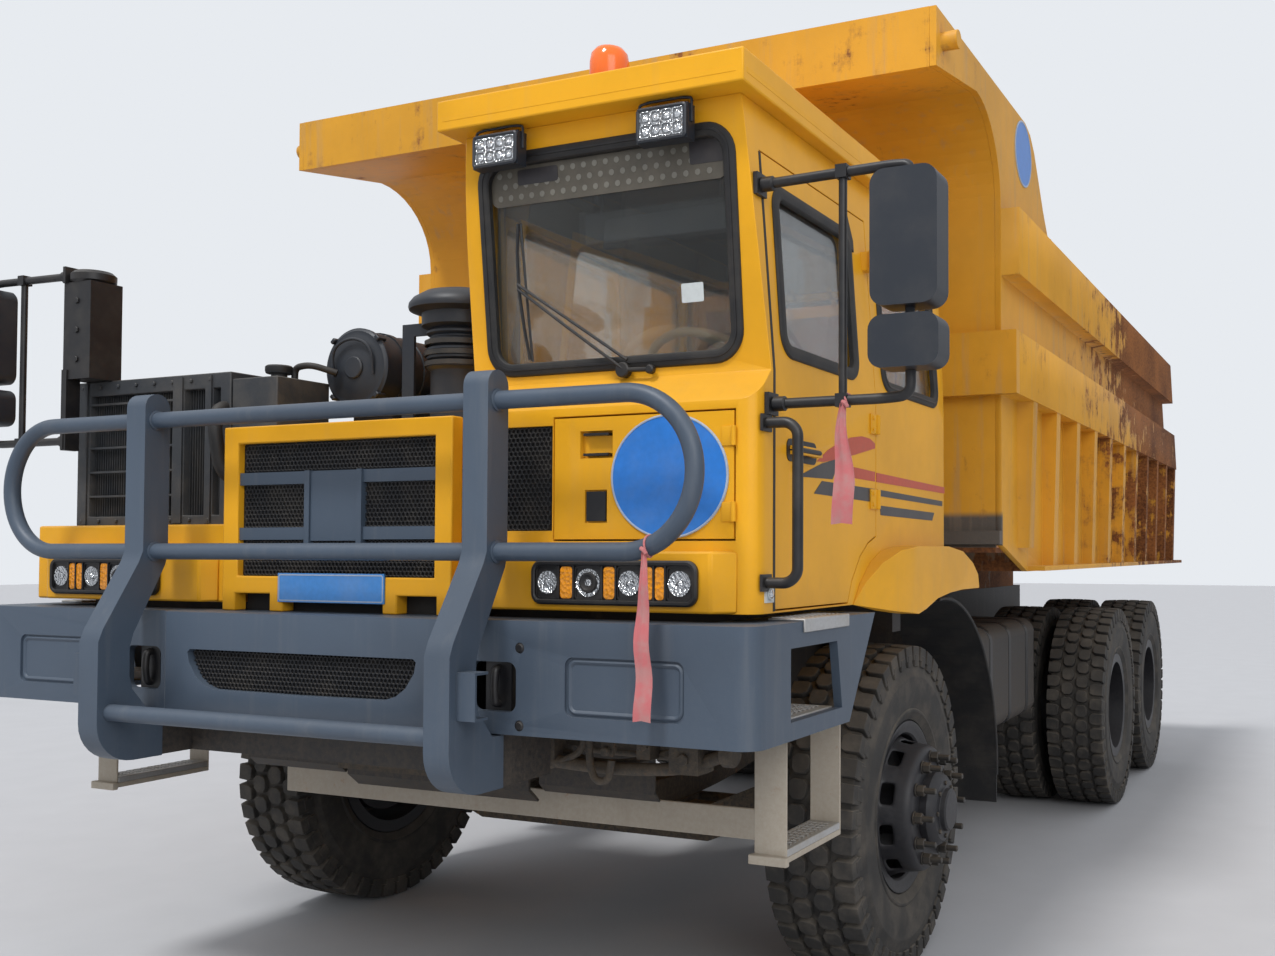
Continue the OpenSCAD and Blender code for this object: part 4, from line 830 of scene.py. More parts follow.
s = Shape()
for z in (1780, 1978):
    s.block((-451, 451), (-1646, -1626), (z, z + 44), 6, 3)
for sign in (1, -1):
    s.block(sided(sign, 108, 131), (-1654, -1627), (1768, 2024), 5, 2)
s.block((-106, 106), (-1648, -1627), (1776, 2016), 9, 3)
s.done("grille_bars", slate_paint, slot="slate_paint")

Shape().block((-243, 243), (-1661, -1655.3), (1560, 1662), 3, 2).done("bare_plate", blue_plate, slot="slate_paint")
Shape().band(rounded_outline((-237, 237), (1566, 1656), 7), ahead_of(-1661),
             [(-2.2, -1), (-2.2, 0.8), (2.2, 0.8), (2.2, -1)]).done("plate_border", pale_rim, slot="slate_paint")

# Bumper: bolts and the pressed panels' ridges; the guard's rusted bolts
s, bolts = Shape(), Shape()
for sign in (1, -1):
    for z in (1200, 1440):
        bolts.lathe([(0, 0), (10, 0), (13, 4), (18.5, 6), (18.5, 9), (0, 9)], "Y", (sign * 885, -1768.5, z), 24)
    s.band(rounded_outline(sided(sign, 1066, 1455), (1250, 1405), 24), ahead_of(-1756),
           [(-9, -1), (-6, 3), (0, 5.5), (6, 3), (9, -1)])
s.done("bumper_ridges", slate_paint, slot="slate_paint")
bolts.done("bumper_bolts", black_metal, slot="slate_paint")
s = Shape()
for sign in (1, -1):
    for z in (2152, 1520):
        s.rod("Y", (sign * 760, -1800 if z > 2000 else -1886, z), (-14, 8), 34, 20, edge=4)
s.done("guard_bolts", red_bolt, slot="slate_paint")

# Tow hooks inside the towing holes
s = Shape()
for sign in (1, -1):
    s.tube([(sign * 784, -1725, 1262), (sign * 784, -1752, 1262), (sign * 784, -1760, 1318),
            (sign * 784, -1752, 1372), (sign * 784, -1725, 1372)], 26, 12, fillet=28)
    s.block(sided(sign, 735, 833), (-1736, -1728), (1240, 1396))
s.done("tow_hooks", black_metal, slot="chassis_black")

# Round bosses where the guard's tubes meet its uprights
s = Shape()
for sign in (1, -1):
    for z in (2212, 1738):
        for x in (705, 807):
            centre = (x if sign > 0 else -(x + 8), GUARD_Y, z)
            s.turned([(28, 0), (36, 1), (36, 6), (30, 9), (28, 9)], "X", centre, 28)
s.done("weld_collars", slate_paint, slot="slate_paint")


# Lamps: housings with their cells, in the order of the photograph, from the grille outwards
def lamp_cluster(side, sign):
    body, mirror, amber = Shape(), Shape(), Shape()
    body.prism(rounded_outline(sided(sign, 852, 1451), (1574, 1710), 33), "Y", (LAMP_Y - 9, LAMP_Y - 0.4))
    body.band(rounded_outline(sided(sign, 858, 1445), (1580, 1704), 28), ahead_of(LAMP_Y),
              [(-9, 4), (-9, 17), (-5, 20), (2, 20), (8, 13), (8, 4)])
    for x in (957, 1012, 1118, 1168, 1262, 1303, 1344):
        body.block(sided(sign, x - 3, x + 3), (LAMP_Y - 17, LAMP_Y - 8), (1582, 1702), 1.5, 1)
    for a, b, kind in ((872, 952, "m"), (962, 1007, "a"), (1017, 1113, "m"), (1123, 1163, "a"), (1173, 1257, "m"),
                       (1267, 1299, "a"), (1308, 1340, "a"), (1349, 1434, "m")):
        out = rounded_outline(sided(sign, a, b), (1592, 1692), 12)
        target = mirror if kind == "m" else amber
        if kind == "m":
            body.band(out, ahead_of(LAMP_Y), [(-3, 7), (-3, 13), (3, 13), (3, 7)])
            r = (b - a) / 2 - 4
            cx = sign * (a + b) / 2
            target.lathe([(r, -8), (r, -13), (r * 0.75, -11), (r * 0.35, -9.2), (0, -8.8), (0, -8)], "Y",
                         (cx, LAMP_Y, LAMP_Z), 32)
            target.lathe([(0, -9.5), (12, -9.5), (12, -13.5), (9, -15.5), (0, -16.2)], "Y", (cx, LAMP_Y, LAMP_Z), 20)
        else:
            target.prism(out, "Y", (LAMP_Y - 14, LAMP_Y - 8.5), 3, 2)
    body.lathe([(0, -9), (31, -9), (33, -12), (30, -17), (24, -17.5), (18, -14), (0, -12)], "Y",
               (sign * 1065, LAMP_Y, LAMP_Z), 32)
    body.done("lamp_housing_" + side, black_metal, slot="lamp_black", replaces=("lamps",))
    mirror.done("reflectors_" + side, clear_lens, slot="lamp_black")
    amber.done("amber_lamps_" + side, amber_lens, slot="lamp_black")


for side, sign in SIDES:
    lamp_cluster(side, sign)

s, lens, cells = Shape(), Shape(), Shape()
for x in (690, 1320):
    s.block((x - 90, x + 90), (-1657, -1612), (3000, 3110), 10, 3)
    s.band(rounded_outline((x - 84, x + 84), (3006, 3104), 9), ahead_of(-1657),
           [(-6, -2), (-6, 6), (-1, 9), (5, 6), (5, -2)])
    for k in range(5):
        s.block((x - 70 + 32 * k, x - 66 + 32 * k), (-1618, -1606), (3012, 3098), 1, 1)
    s.tube([(x - 93, -1636, 3055), (x - 93, -1636, 3128), (x - 60, -1636, 3134), (x + 60, -1636, 3134),
            (x + 93, -1636, 3128), (x + 93, -1636, 3055)], 9, 8, fillet=8)
    lens.prism(rounded_outline((x - 79, x + 79), (3011, 3099), 7), "Y", (-1660.5, -1656))
    for i in range(4):
        for j in range(2):
            cx, cz = x - 57 + 38 * i, 3034 + 42 * j
            cells.band(rounded_outline((cx - 17, cx + 17), (cz - 19, cz + 19), 7), ahead_of(-1660),
                       [(-1.4, -1), (-1.4, 3.5), (1.4, 3.5), (1.4, -1)])
            cells.lathe([(0, 0), (12, 0), (12, -2), (8, -3.8), (0, -4.6)], "Y", (cx, -1660, cz), 16)
cells.done("work_lamp_cells", clear_lens, slot="lamp_black")
s.done("work_lamps", mirror_plastic, slot="lamp_black")
lens.done("work_lamp_lenses", lamp_back, slot="lamp_black")

s, red, amber, white = Shape(), Shape(), Shape(), Shape()
for sign in (1, -1):
    s.block(sided(sign, 480, 800), (6060, 6104), (1120, 1220), 8, 2)
    for a, b, target in ((490, 560, white), (566, 660, red), (666, 790, amber)):
        target.block(sided(sign, a, b), (6100, 6110), (1130, 1210), 4, 2)
s.done("tail_lamps", black_metal, slot="lamp_black")
red.done("tail_red", red_lens, slot="lamp_black")
amber.done("tail_amber", amber_lens, slot="lamp_black")
white.done("tail_clear", clear_lens, slot="lamp_black")

# Windows: rubber gaskets with their filler strip
s, strip = Shape(), Shape()
section = [(-22, -14), (-22, 3), (-18, 8), (-7, 11), (7, 11), (18, 8), (22, 3), (22, -4)]
filler = [(-4, 10), (-3, 13.5), (3, 13.5), (4, 10)]
for place, u, v, r in ((screen_at, (575, 1510), (2350, 3045), 80), (left_at, (-500, 150), (2375, 2950), 60),
                       (inner_at, (-1300, -150), (2375, 2900), 60),
                       (behind(290), (700, 1400), (2375, 2900), 60)):
    outline = rounded_outline(u, v, r, 8)
    s.band(outline, place, section)
    strip.band(outline, place, filler)
s.done("window_gaskets", rubber, slot="black_rubber")
strip.done("gasket_fillers", black_metal, slot="black_rubber")
s = Shape()
outline = rounded_outline((-1400, -780), (2375, 2890), 60, 8)
s.band(outline, left_at, section)
s.film([(-800, 2990), (-800, 2878), (-770, 2846), (-745, 2836), (-745, 2878), (-775, 2936)], left_at, 0.5, 9)
s.done("door_gasket", rubber, body="cab_door", slot="black_rubber")

# Sun strip at the top of the windscreen, and a bare tag
s, dots = Shape(), Shape()
s.film(rounded_outline((592, 1494), (2898, 3032), 34), screen_at, -17.4, -16.0)
s.done("sun_strip", strip_film, slot="window_glass")
for row in range(3):
    for k in range(20):
        dots.film(oval(632 + k * 42 + 21 * (row % 2), 2926 + row * 37, 10, 10, 10), screen_at, -16.2, -14.8)
dots.done("sun_strip_dots", dot_film, slot="window_glass")
s = Shape()
for x, z in (((706, 866), (2962, 3012)), ((1362, 1486), (2950, 3022))):
    s.film(rounded_outline(x, z, 8), screen_at, -16.2, -14.4)
s.done("sun_strip_ends", stripe_dark, slot="window_glass")
Shape().film(rounded_outline((1309, 1388), (2528, 2588), 5), screen_at, -17.4, -15.5).done(
    "bare_tag", pale_film, slot="window_glass")

# Wiper: pivot, driving link, two arms side by side and the blade
s = Shape()
s.rod("Y", (1100, -1504, 2325), (-30, 0), 50, 24, edge=4)
s.tube([screen_at(1100, 2325, 22), screen_at(1203, 2321, 26)], 16, 10)
s.rod("Y", (1203, -1503, 2321), (-34, -8), 30, 16, edge=5)
for lift, at_pivot in ((0, 1100), (26, 1120)):
    s.tube([screen_at(at_pivot, 2330 + lift, 26), screen_at(900, 2476 + lift * 1.1, 34),
            screen_at(707, 2614 + lift * 0.6, 22)], 11, 8)
s.tube([screen_at(713, 2831, 8), screen_at(708, 2740, 15), screen_at(709, 2614, 20), screen_at(719, 2480, 14),
        screen_at(730, 2382, 8)], 11, 8)
s.tube([screen_at(713, 2835, -6), screen_at(721, 2600, -6), screen_at(730, 2378, -6)], 9, 6)
s.done("wiper", black_metal, slot="black_metal", replaces=("wipers",))


# Mirrors: arms of bent tube, rounded heads and their glass
arms, heads, glasses = Shape(), Shape(), Shape()
lip = [(-6, -2), (-5, 8), (0, 10), (5, 7), (6, -2)]
for sign in (1, -1):
    low, high = (1621, 1580) if sign > 0 else (1561, 1561)
    y = MIRROR_Y
    for bends, fillet in ((((high, 2870), (2020, 2878), (2074, 2874), (2077.5, 2838)), 60),
                          (((low, 2190), (2000, 2190), (2077.5, 2196), (2077.5, 2268)), 66)):
        arms.tube([(sign * x, y, z) for x, z in bends], 32, 14, fillet=fillet)
    arms.tube([(sign * 1864, y, 2876), (sign * 1864, y, 2186)], 26, 12)
    for z in (2876, 2190):
        arms.block(sided(sign, 1846, 1882), (y - 20, y + 20), (z - 20, z + 20), 7, 3)
    for root, z in ((high, 2870), (low, 2190)):
        arms.block(sided(sign, root, root + 15), (y - 34, y + 34), (z - 34, z + 34), 5, 2)
        arms.rod("X", (0, y, z), sided(sign, root + 12, root + 58), 46, 16, edge=5)
    heads.prism(rounded_outline(sided(sign, 1975, 2180), (2450, 2849), 44), "Y", (y - 69, y + 40), 36, 5)
    heads.prism(rounded_outline(sided(sign, 1969, 2184), (2270, 2424), 42), "Y", (y - 69, y + 36), 34, 5)
    heads.tube([(sign * 2077.5, y - 6, 2418), (sign * 2077.5, y - 6, 2456)], 30, 14)
    heads.band(rounded_outline(sided(sign, 1984, 2171), (2456, 2840), 38), behind(y + 40), lip)
    heads.band(rounded_outline(sided(sign, 1978, 2176), (2278, 2416), 34), behind(y + 36), lip)
    glasses.prism(rounded_outline(sided(sign, 1986, 2169), (2458, 2838), 36), "Y", (y + 39, y + 44))
    glasses.prism(rounded_outline(sided(sign, 1980, 2174), (2280, 2414), 32), "Y", (y + 35, y + 40))
# grab handle on the corner pillar, its ends bent in to their feet
arms.tube([(1621, -1545, 1645), (1700, -1545, 1645), (1730, -1545, 1672), (1730, -1545, 2104), (1700, -1545, 2130),
           (1621, -1545, 2130)], 34, 14, fillet=30)
for z in (1645, 2130):
    arms.block((1620.3, 1629), (-1578, -1512), (z - 26, z + 26), 4, 2)
arms.block((-1580, -1420), (-1540, -1400), (2440.3, 2838), 12, 3)
for z in (2520, 2640, 2760):
    arms.rod("Y", (-1500, -1541, z), (-6, 2), 26, 6, edge=2)
arms.lathe([(0, 2836), (70, 2836), (84, 2848), (85, 2874), (70, 2888), (0, 2890)], "Z", (-1500, -1470, 0), 32)
arms.block((-1580, -1550), (-1546, -1486), (2150, 2480), 5, 2)
arms.done("mirror_tubes", black_metal, slot="black_metal", replaces=("mirror_arms",))
heads.done("mirror_shells", mirror_plastic, slot="black_plastic", replaces=("mirror_heads",), angle=40)
glasses.done("mirror_glass", silvered, slot="black_plastic")

# Signs: a bare oval on the locker's lid and a bare disc on each side of the canopy
s, rim = Shape(), Shape()
s.prism(oval(1318, 1972, 203, 188, 64), "Y", (-1604, -1599.5), 1.5, 1)
rim.band(oval(1318, 1972, 205, 190, 64), ahead_of(-1600), [(-4, -0.5), (-3, 5.5), (0, 6.5), (3, 5.5), (4, -0.5)])
s.done("bare_oval", blue_sign, body="storage_lid", slot="yellow_paint")
rim.done("oval_rim", pale_rim, body="storage_lid", slot="yellow_paint")
s, rim = Shape(), Shape()
for sign in (1, -1):
    s.rod("X", DISCS, sided(sign, 1729.6, 1733), 330, 56, edge=1)
    bead = [(158, 1730), (158, 1734), (162, 1735.5), (167, 1734), (167, 1730)]
    rim.turned(bead if sign > 0 else [(r, -d) for r, d in bead[:1] + bead[:0:-1]], "X", DISCS, 56)
s.done("bare_discs", blue_sign, body="bed", slot="bed_paint")
rim.done("disc_rims", pale_rim, body="bed", slot="bed_paint")

# Stripes on the cab's side: door part rides the door
STRIPES = (("door", stripe_red, [(-1153, 2040), (-1060, 2084), (-960, 2118), (-850, 2146), (-740, 2160), (-660, 2158),
                                 (-607, 2144), (-607, 2126), (-860, 2078), (-1093, 2042)]),
           ("door", stripe_dark, [(-1260, 1994), (-1110, 2036), (-950, 2066), (-1016, 1988), (-1262, 1982)]),
           ("door", stripe_dark, [(-1109, 1977), (-607, 1974), (-607, 1924), (-1176, 1932)]),
           ("door", stripe_red, [(-892, 2044), (-607, 2038), (-607, 2002), (-935, 2004)]),
           ("shell", stripe_red, [(-594, 2036), (246, 2022), (245, 1995), (-594, 2001)]),
           ("shell", stripe_dark, [(-586, 1974), (216, 1960), (214, 1938), (-586, 1950)]),
           ("shell", stripe_dark, [(-557, 1914), (103, 1906), (75, 1872), (-548, 1878)]))
for body, name in (("cab_door", "door"), ("root", "shell")):
    for finish, word in ((stripe_red, "red"), (stripe_dark, "dark")):
        s = Shape()
        for where, paint, outline in STRIPES:
            if where == name and paint is finish:
                s.film(outline[::-1], left_at, -0.2, 1.2)
        s.done(f"{word}_stripes_{name}", finish, body=body, slot="yellow_paint")

# Dark seam ahead of the door
Shape().film([(-1487, 1556), (-1487, 2300), (-1497, 2985), (-1481.5, 2985), (-1471.5, 2300), (-1471.5, 1556)][::-1],
             left_at, -0.5, 1.0).done("door_seam", rubber, slot="yellow_paint")

# Side marker at the foot of the corner pillar
s, lens = Shape(), Shape()
s.block((CAB_SIDE - 1, CAB_SIDE + 5), (-1546, -1488), (1584, 1638), 3, 2)
s.rod("X", (0, -1517, 1611), (CAB_SIDE + 4, CAB_SIDE + 11), 40, 24, edge=2)
lens.lathe([(0, 9), (15, 9), (15, 12), (10, 15), (0, 16)], "X", (CAB_SIDE, -1517, 1611), 24)
s.done("side_marker", pale_film, slot="yellow_paint")
lens.done("side_marker_lens", clear_lens, slot="lamp_black")

# Door: hinges, handle with its seat and lock; locker lid: catches
s = Shape()
for z in (1900, 2180, 2790):
    s.rod("Z", (1628.3, -598, 0), (z - 2, z + 72), 22, 20, edge=3)
    s.block((1617, 1627), (-662, -600), (z - 2, z + 72), 3, 2)
    for k in (14, 56):
        s.rod("X", (0, -640, z + k), (1626, 1633), 16, 6, edge=2)
s.done("door_hinges", cab_paint, body="cab_door", slot="yellow_paint")
s = Shape()
s.tube([(1616, -1362, 2062), (1652, -1362, 2062), (1652, -1190, 2062), (1616, -1190, 2062)], 17, 12, fillet=16)
s.prism(rounded_outline((-1390, -1160), (2026, 2098), 24), "X", (1619.5, 1623.5), 1.5, 1)
s.rod("X", (0, -1330, 2006), (1619, 1627), 26, 20, edge=2)
s.done("door_handle", black_metal, body="cab_door", slot="black_metal")
s = Shape()
for z in (2044, 2108):
    s.block((1004, 1098), (-1603, -1578.5), (z, z + 8), 2, 1)
s.block((1015, 1087), (-1600, -1592), (1836, 1930), 4, 2)
s.done("lid_catches", black_metal, body="storage_lid", slot="black_metal")

# Roof: beacon with its base, and the brim's seam
Shape().lathe([(0, 3240), (78, 3240), (80, 3246), (80, 3262), (74, 3268), (70, 3272), (0, 3272)], "Z", BEACON, 40).done(
    "beacon_base", black_metal, slot="black_metal")
Shape().lathe([(0, 3268), (64, 3268), (64, 3276), (65.5, 3279), (65, 3350), (60, 3378), (46, 3395), (24, 3403),
               (0, 3405)], "Z", BEACON, 48).done("beacon_dome", orange_dome, slot="beacon_orange", replaces=("beacon",))
Shape().band(rounded_outline((468, 1609), (-1677, 327), 26), above(3176), [(-3, -10), (4, -8), (4, 8), (-3, 10)]).done(
    "roof_seam", cab_paint, slot="yellow_paint")

# Radiator: fins, core, frame bars and hoses; the expansion tank's cap
fins = field_tree("radiator fins", unit_of("fin", lambda s: s.block((-1.2, 1.2), (0, 34), (0, 500))))
for k, (a, b) in enumerate(((-1548, -1062), (-998, -882), (-838, -802))):
    bake(fins, {"Columns": int((b - a) / 14), "Rows": 1, "Pitch": 0.014, "Row pitch": 0.1,
                "Corner": at(a + 6, -1415, 1881)}, f"radiator_fins_{k}", radiator_gray)
# Core: a flat plate between the fins in the near-black painted shade, the core's own dark colour deepened by painted
# shade of its depth
s = Shape()
for x in ((-1550, -1060), (-1000, -800)):
    s.block(x, (-1398, -1392), (1879, 2381))
s.done("radiator_core", shade_black, slot="radiator_gray")
s = Shape()
for z in (1960, 2060, 2160, 2260, 2340):
    s.block((-1552, -1058), (-1438, -1426), (z, z + 8), 2, 1)
for x in ((-1056, -1004), (-876, -844)):
    s.block(x, (-1446, -1430), (1850, 2430), 5, 2)
for z in (1862, 2414):
    for x in range(-1590, -760, 105):
        s.rod("Y", (x, -1441, z), (-7, 2), 17, 6, edge=2)
s.block((-1612, -1560), (-1446, -1430), (1848, 2434), 5, 2)
s.done("radiator_frame", radiator_gray, slot="radiator_gray")
softened("radiator", radiator_gray, "root", 7, 2)
s = Shape()
s.tube([(-775, -1380, 2300), (-775, -1470, 2300), (-760, -1500, 2220), (-745, -1480, 2050), (-700, -1420, 1990),
        (-640, -1400, 1960)], 52, 14, fillet=60)
s.tube([(-560, -1300, 2405), (-560, -1300, 2462), (-480, -1300, 2470), (-400, -1240, 2440)], 26, 12, fillet=40)
s.lathe([(0, 2440), (50, 2440), (52, 2446), (52, 2462), (46, 2468), (0, 2470)], "Z", (-610, -1330, 0), 24)
s.done("coolant_hoses", rubber, slot="black_rubber")

# Air intake: drum with its lid and bail, duct, bellows, pre-cleaner with its cap
s = Shape()
s.lathe([(0, -1222), (118, -1222), (128, -1216), (146, -1216), (152, -1210), (158, -1208), (158, -1196),
         (151, -1192), (150, -1000), (154, -996), (154, -984), (150, -980), (150, -800), (154, -796), (154, -784),
         (150, -780), (150, -640), (140, -622), (0, -620)], "Y", DRUM, 56)
s.lathe([(0, -1232), (40, -1232), (44, -1228), (44, -1220), (0, -1220)], "Y", DRUM, 24)
for k in range(4):
    a = math.radians(45 + 90 * k)
    cx, cz = DRUM_X + 158 * math.cos(a), DRUM_Z + 158 * math.sin(a)
    s.block((cx - 12, cx + 12), (-1226, -1180), (cz - 8, cz + 8), 3, 1, turn=(-math.degrees(a) + 90, "Y"))
s.tube([(-430, -1228, 2430), (-430, -1240, 2540), (-330, -1240, 2580), (-230, -1240, 2540), (-230, -1228, 2430)],
       12, 8, fillet=70)
for y in (-1120, -760):
    s.block((-430, -230), (y, y + 60), (DECK_TOP, 2345), 6, 2)
for y in (-1090, -730):
    s.band(oval(DRUM_X, DRUM_Z, 153, 153, 48), behind(y), [(-1, -16), (3, -16), (3, 16), (-1, 16)])
s.tube([(-330, -900, 2320), (-200, -900, 2320), (140, -900, 2320), (140, -900, 2321)], 158, 28)
s.tube([(140, -900, 2330), (140, -1000, 2330), (140, -1060, 2330)], 158, 28)
s.lathe([(0, DECK_TOP), (116, DECK_TOP), (116, 2290), (122, 2294), (122, 2312), (116, 2316), (116, 2420)] +
         [p for k in range(5) for p in ((118, 2424 + 32 * k), (132, 2434 + 32 * k), (132, 2442 + 32 * k),
                                        (118, 2452 + 32 * k))] +
         [(126, 2584), (150, 2592), (150, 2640), (176, 2646), (196, 2652), (199, 2662), (197, 2676),
          (182, 2696), (140, 2722), (80, 2736), (0, 2740)], "Z", (140, -1150, 0), 56)
s.done("air_intake_drum", mirror_plastic, slot="black_plastic", replaces=("air_intake",))
s = Shape()
for k in range(3):
    s.band(oval(140, -1150, 137, 137, 40), above(2446 + 40 * k), [(-2, -9), (2, -9), (2, 9), (-2, 9)])
s.done("bellows_tape", nut_steel, slot="black_plastic")
s = Shape()
s.prism([(-128, DECK_TOP), (-70, DECK_TOP), (-70, 2572), (20, 2572), (20, 2620), (-128, 2620)],
        "Y", (-1180, -1168), 4, 1)
s.block((-130, -118), (-1169, -1120), (DECK_TOP, 2616), 4, 2)
s.done("intake_bracket", mirror_plastic, slot="slate_paint")


# Front wheels: rim, disc with its hand holes, drum, hub with studs and nuts
def studs(s):
    """One wheel stud with its washer, nut and bare end, standing along X above the axle"""
    s.rod("X", (0, 0, 212.5), (266, 272), 54, 16, edge=1.5)
    s.rod("X", (0, 0, 212.5), (271, 304), 46, 6, edge=3)
    s.rod("X", (0, 0, 212.5), (300, 350), 25, 12, edge=3)


stud_tree = ring_tree("studs round the hub", unit_of("stud", studs))
bolt_tree = ring_tree("bolts round the cap",
                      unit_of("cap_bolt", lambda s: s.rod("X", (0, 0, 108), (328, 338), 20, 6, edge=2)))


def front_wheel(side, sign):
    body, centre = "wheel_front_" + side, (sign * FRONT_X, 0, TYRE_R)
    turn = lambda profile: [(r, sign * d) for r, d in profile]
    s = Shape()
    s.turned(turn([(297, -157), (352, -159.5), (355.3, -152), (350, -144), (330, -142.6), (318, -138), (318, 138),
                   (330, 142.6), (350, 144), (355.3, 152), (352, 159.5),
                   (342, 159), (328, 152), (304, 146), (297, 138)]), "X", centre, 72)
    s.turned(turn([(121, -100), (200, -100), (214, -96), (245, -96), (245, -60), (238, -56), (238, -30), (245, -26),
                   (245, 62), (121, 62)]), "X", centre, 56)
    s.lathe(turn([(0, 262), (152, 262), (153, 296), (140, 318), (126, 329), (90, 331), (87, 334), (86, 352),
                  (78, 358), (0, 360)]), "X", centre, 56)
    s.turned(turn([(57, -60), (120, -60), (120, 244), (57, 244)]), "X", centre, 40)
    s.done("front_rim_" + side, rim_paint, body, "wheel_black", ("rim_front_" + side,))
    # the disc is a grid round the axle with some cells left out, given its thickness afterwards
    prof = [(305, 70), (299, 90), (289, 110), (279, 130), (275, 141), (271, 160), (268, 179), (265, 190), (261, 214),
            (258, 238), (252, 255), (238, 265), (222, 267.5), (120, 267.5)]
    bm, n = bmesh.new(), HAND_HOLES * 6
    rings = [[bm.verts.new(at(centre[0] + sign * d, r * math.cos(a), TYRE_R + r * math.sin(a))) for a in circle(n)]
             for r, d in prof]
    for i in range(len(prof) - 1):
        for k in range(n):
            if 4 <= i <= 6 and k % 6 in (1, 2, 3):
                continue
            bm.faces.new((rings[i][k], rings[i][(k + 1) % n], rings[i + 1][(k + 1) % n], rings[i + 1][k]))
    bmesh.ops.recalc_face_normals(bm, faces=bm.faces)
    outer = max(bm.faces, key=lambda f: abs(f.calc_center_median().x))
    if outer.normal.x * sign < 0:
        bmesh.ops.reverse_faces(bm, faces=bm.faces)
    name = "front_disc_" + side
    disc = finish_mesh(name, mesh_from(bm, name), rim_paint, body, angle=50)
    wall = disc.modifiers.new("wall", "SOLIDIFY")
    wall.thickness, wall.offset = 0.011, -1.0
    smoothed(disc)
    for label, tree, count in (("studs", stud_tree, 12), ("cap_bolts", bolt_tree, 8)):
        piece = bake(tree, {"Count": count, "Phase": 0.0, "Centre": at(*centre)}, f"front_{label}_{side}",
                     nut_steel, body)
        if sign < 0:
            bm = bmesh.new()
            bm.from_mesh(piece.data)
            x0 = at(*centre).x
            for v in bm.verts:
                v.co.x = 2 * x0 - v.co.x
            bmesh.ops.reverse_faces(bm, faces=bm.faces)
            bm.to_mesh(piece.data)
            bm.free()


for side, sign in SIDES:
    front_wheel(side, sign)


# Step treads: raised bars laid crosswise; straps and mudguard edges
TREAD_BAR, BAR_PITCH, BAR_ROW = ((-9, 9), (-1.8, 0.3), (-2.2, 2.2), 1.0, 1), 21, 17
bars = field_tree("tread bars", unit_of("tread_bar", lambda s: s.block(*TREAD_BAR)))
for k, (x, y, z) in enumerate((((1584, 1704), (-1436, -1079), 1533), ((1504, 1664), (-1511, -1134), 1230),
                               ((1489, 1596), (-1326, -904), 794))):
    for side, sign in SIDES:
        a = min(sign * x[0], sign * x[1])
        columns, rows = int((x[1] - x[0] - 20) / BAR_PITCH), int((y[1] - y[0] - 16) / BAR_ROW)
        bake(bars, {"Columns": columns, "Rows": rows, "Pitch": BAR_PITCH / 1000, "Row pitch": BAR_ROW / 1000,
                    "Stagger": 0.5, "Lean": 0.75, "Flat": -math.pi / 2, "Corner": at(a + 12, y[0] + 12, z)},
             f"tread_bars_{k}_{side}", bare_plate)
for node, finish, width in (("hanging_steps", strap_paint, 3), ("step_treads", bare_plate, 3),
                            ("under_plate", strap_paint, 4)):
    softened(node, finish, "root", width)


def arch(r, degrees):
    """A place (y, z) on the arc of the front mudguards, r millimetres from its middle"""
    return 320 + r * math.cos(math.radians(degrees)), 640 + r * math.sin(math.radians(degrees))


s = Shape()
for sign in (1, -1):
    for x, d, n in ((1589, 17, 10), (1191, 15, 8)):
        s.tube([(sign * x, *arch(893, a)) for a in range(-2, 96, 4)], d, n)
    for a in (20, 50, 80):
        y, z = arch(900, a)
        for x in (1280, 1500):
            s.lathe([(0, 4), (7, 4), (10, 0), (10, -3), (0, -3)], "Z", (sign * x, y, z), 14)
s.done("mudguard_edges", rubber, slot="black_rubber")

# Cab inside: dash, gauges, levers, headlining, pillars, steering wheel, linings and the seat's stand
Shape().prism([(-1440, 2258), (-1440, 2299), (-1398, 2307), (-1122, 2267), (-1044, 2205), (-1046, 2190), (-1126, 2250)],
              "X", (543, 1560), 5, 2).done("dash_pad", mint_plastic, slot="cab_plastic")
s = Shape()
s.prism([(-1290, 2280), (-1290, 2335), (-1210, 2362), (-1090, 2300), (-1080, 2262)], "X", (960, 1300), 12, 3)
for x in (620, 720, 820, 1400, 1500):
    s.block((x - 36, x + 36), (-1080, -1062), (2130, 2176), 5, 2)
    for k in range(4):
        s.block((x - 32, x + 32), (-1064, -1052), (2136 + 10 * k, 2139 + 10 * k), 1, 1)
s.block((545, 1550), (-1530, 238), (3098, 3112), 5, 2)
s.block((560, 1535), (-1535, -1440), (3046, 3100), 12, 3)
s.block((900, 1490), (-1444, -1430), (2770, 2872), 6, 3)
for x in (960, 1430):
    s.tube([(x, -1437, 2866), (x, -1437, 3050)], 12, 8)
for x in (548, 1536):
    s.tube([(x + (8 if x < 1000 else -8), -1478, 2310), (x + (6 if x < 1000 else -24), -1540, 3060)], 44, 10)
s.tube([(870, -1150, 1601), (870, -1165, 1900), (862, -1120, 2010)], 22, 12, fillet=40)
s.lathe([(0, 1992), (20, 2000), (28, 2020), (24, 2042), (0, 2052)], "Z", (862, -1118, 0), 24)
s.tube([(1130, -1150, 2180), (1130, -1010, 2334)], 64, 20)
for sign in (1, -1):
    s.tube([(1130 + sign * 30, -1030, 2312), (1130 + sign * 170, -1050, 2330)], 15, 10)
s.done("cab_fittings", cab_plastic, slot="cab_plastic")
s = Shape()
for x in (1040, 1130, 1220):
    s.lathe([(0, -1079), (36, -1079), (36, -1072), (33, -1070), (31, -1075), (0, -1076)], "Y", (x, 0, 2286), 28)
s.done("gauges", silvered, slot="cab_plastic")


def wheel_at(x, y, z):
    """A place in the steering wheel's own axes, its column leaning back by 42 degrees"""
    return (1130 + x, -1150 + 0.743 * y + 0.669 * z, 2180 - 0.669 * y + 0.743 * z)


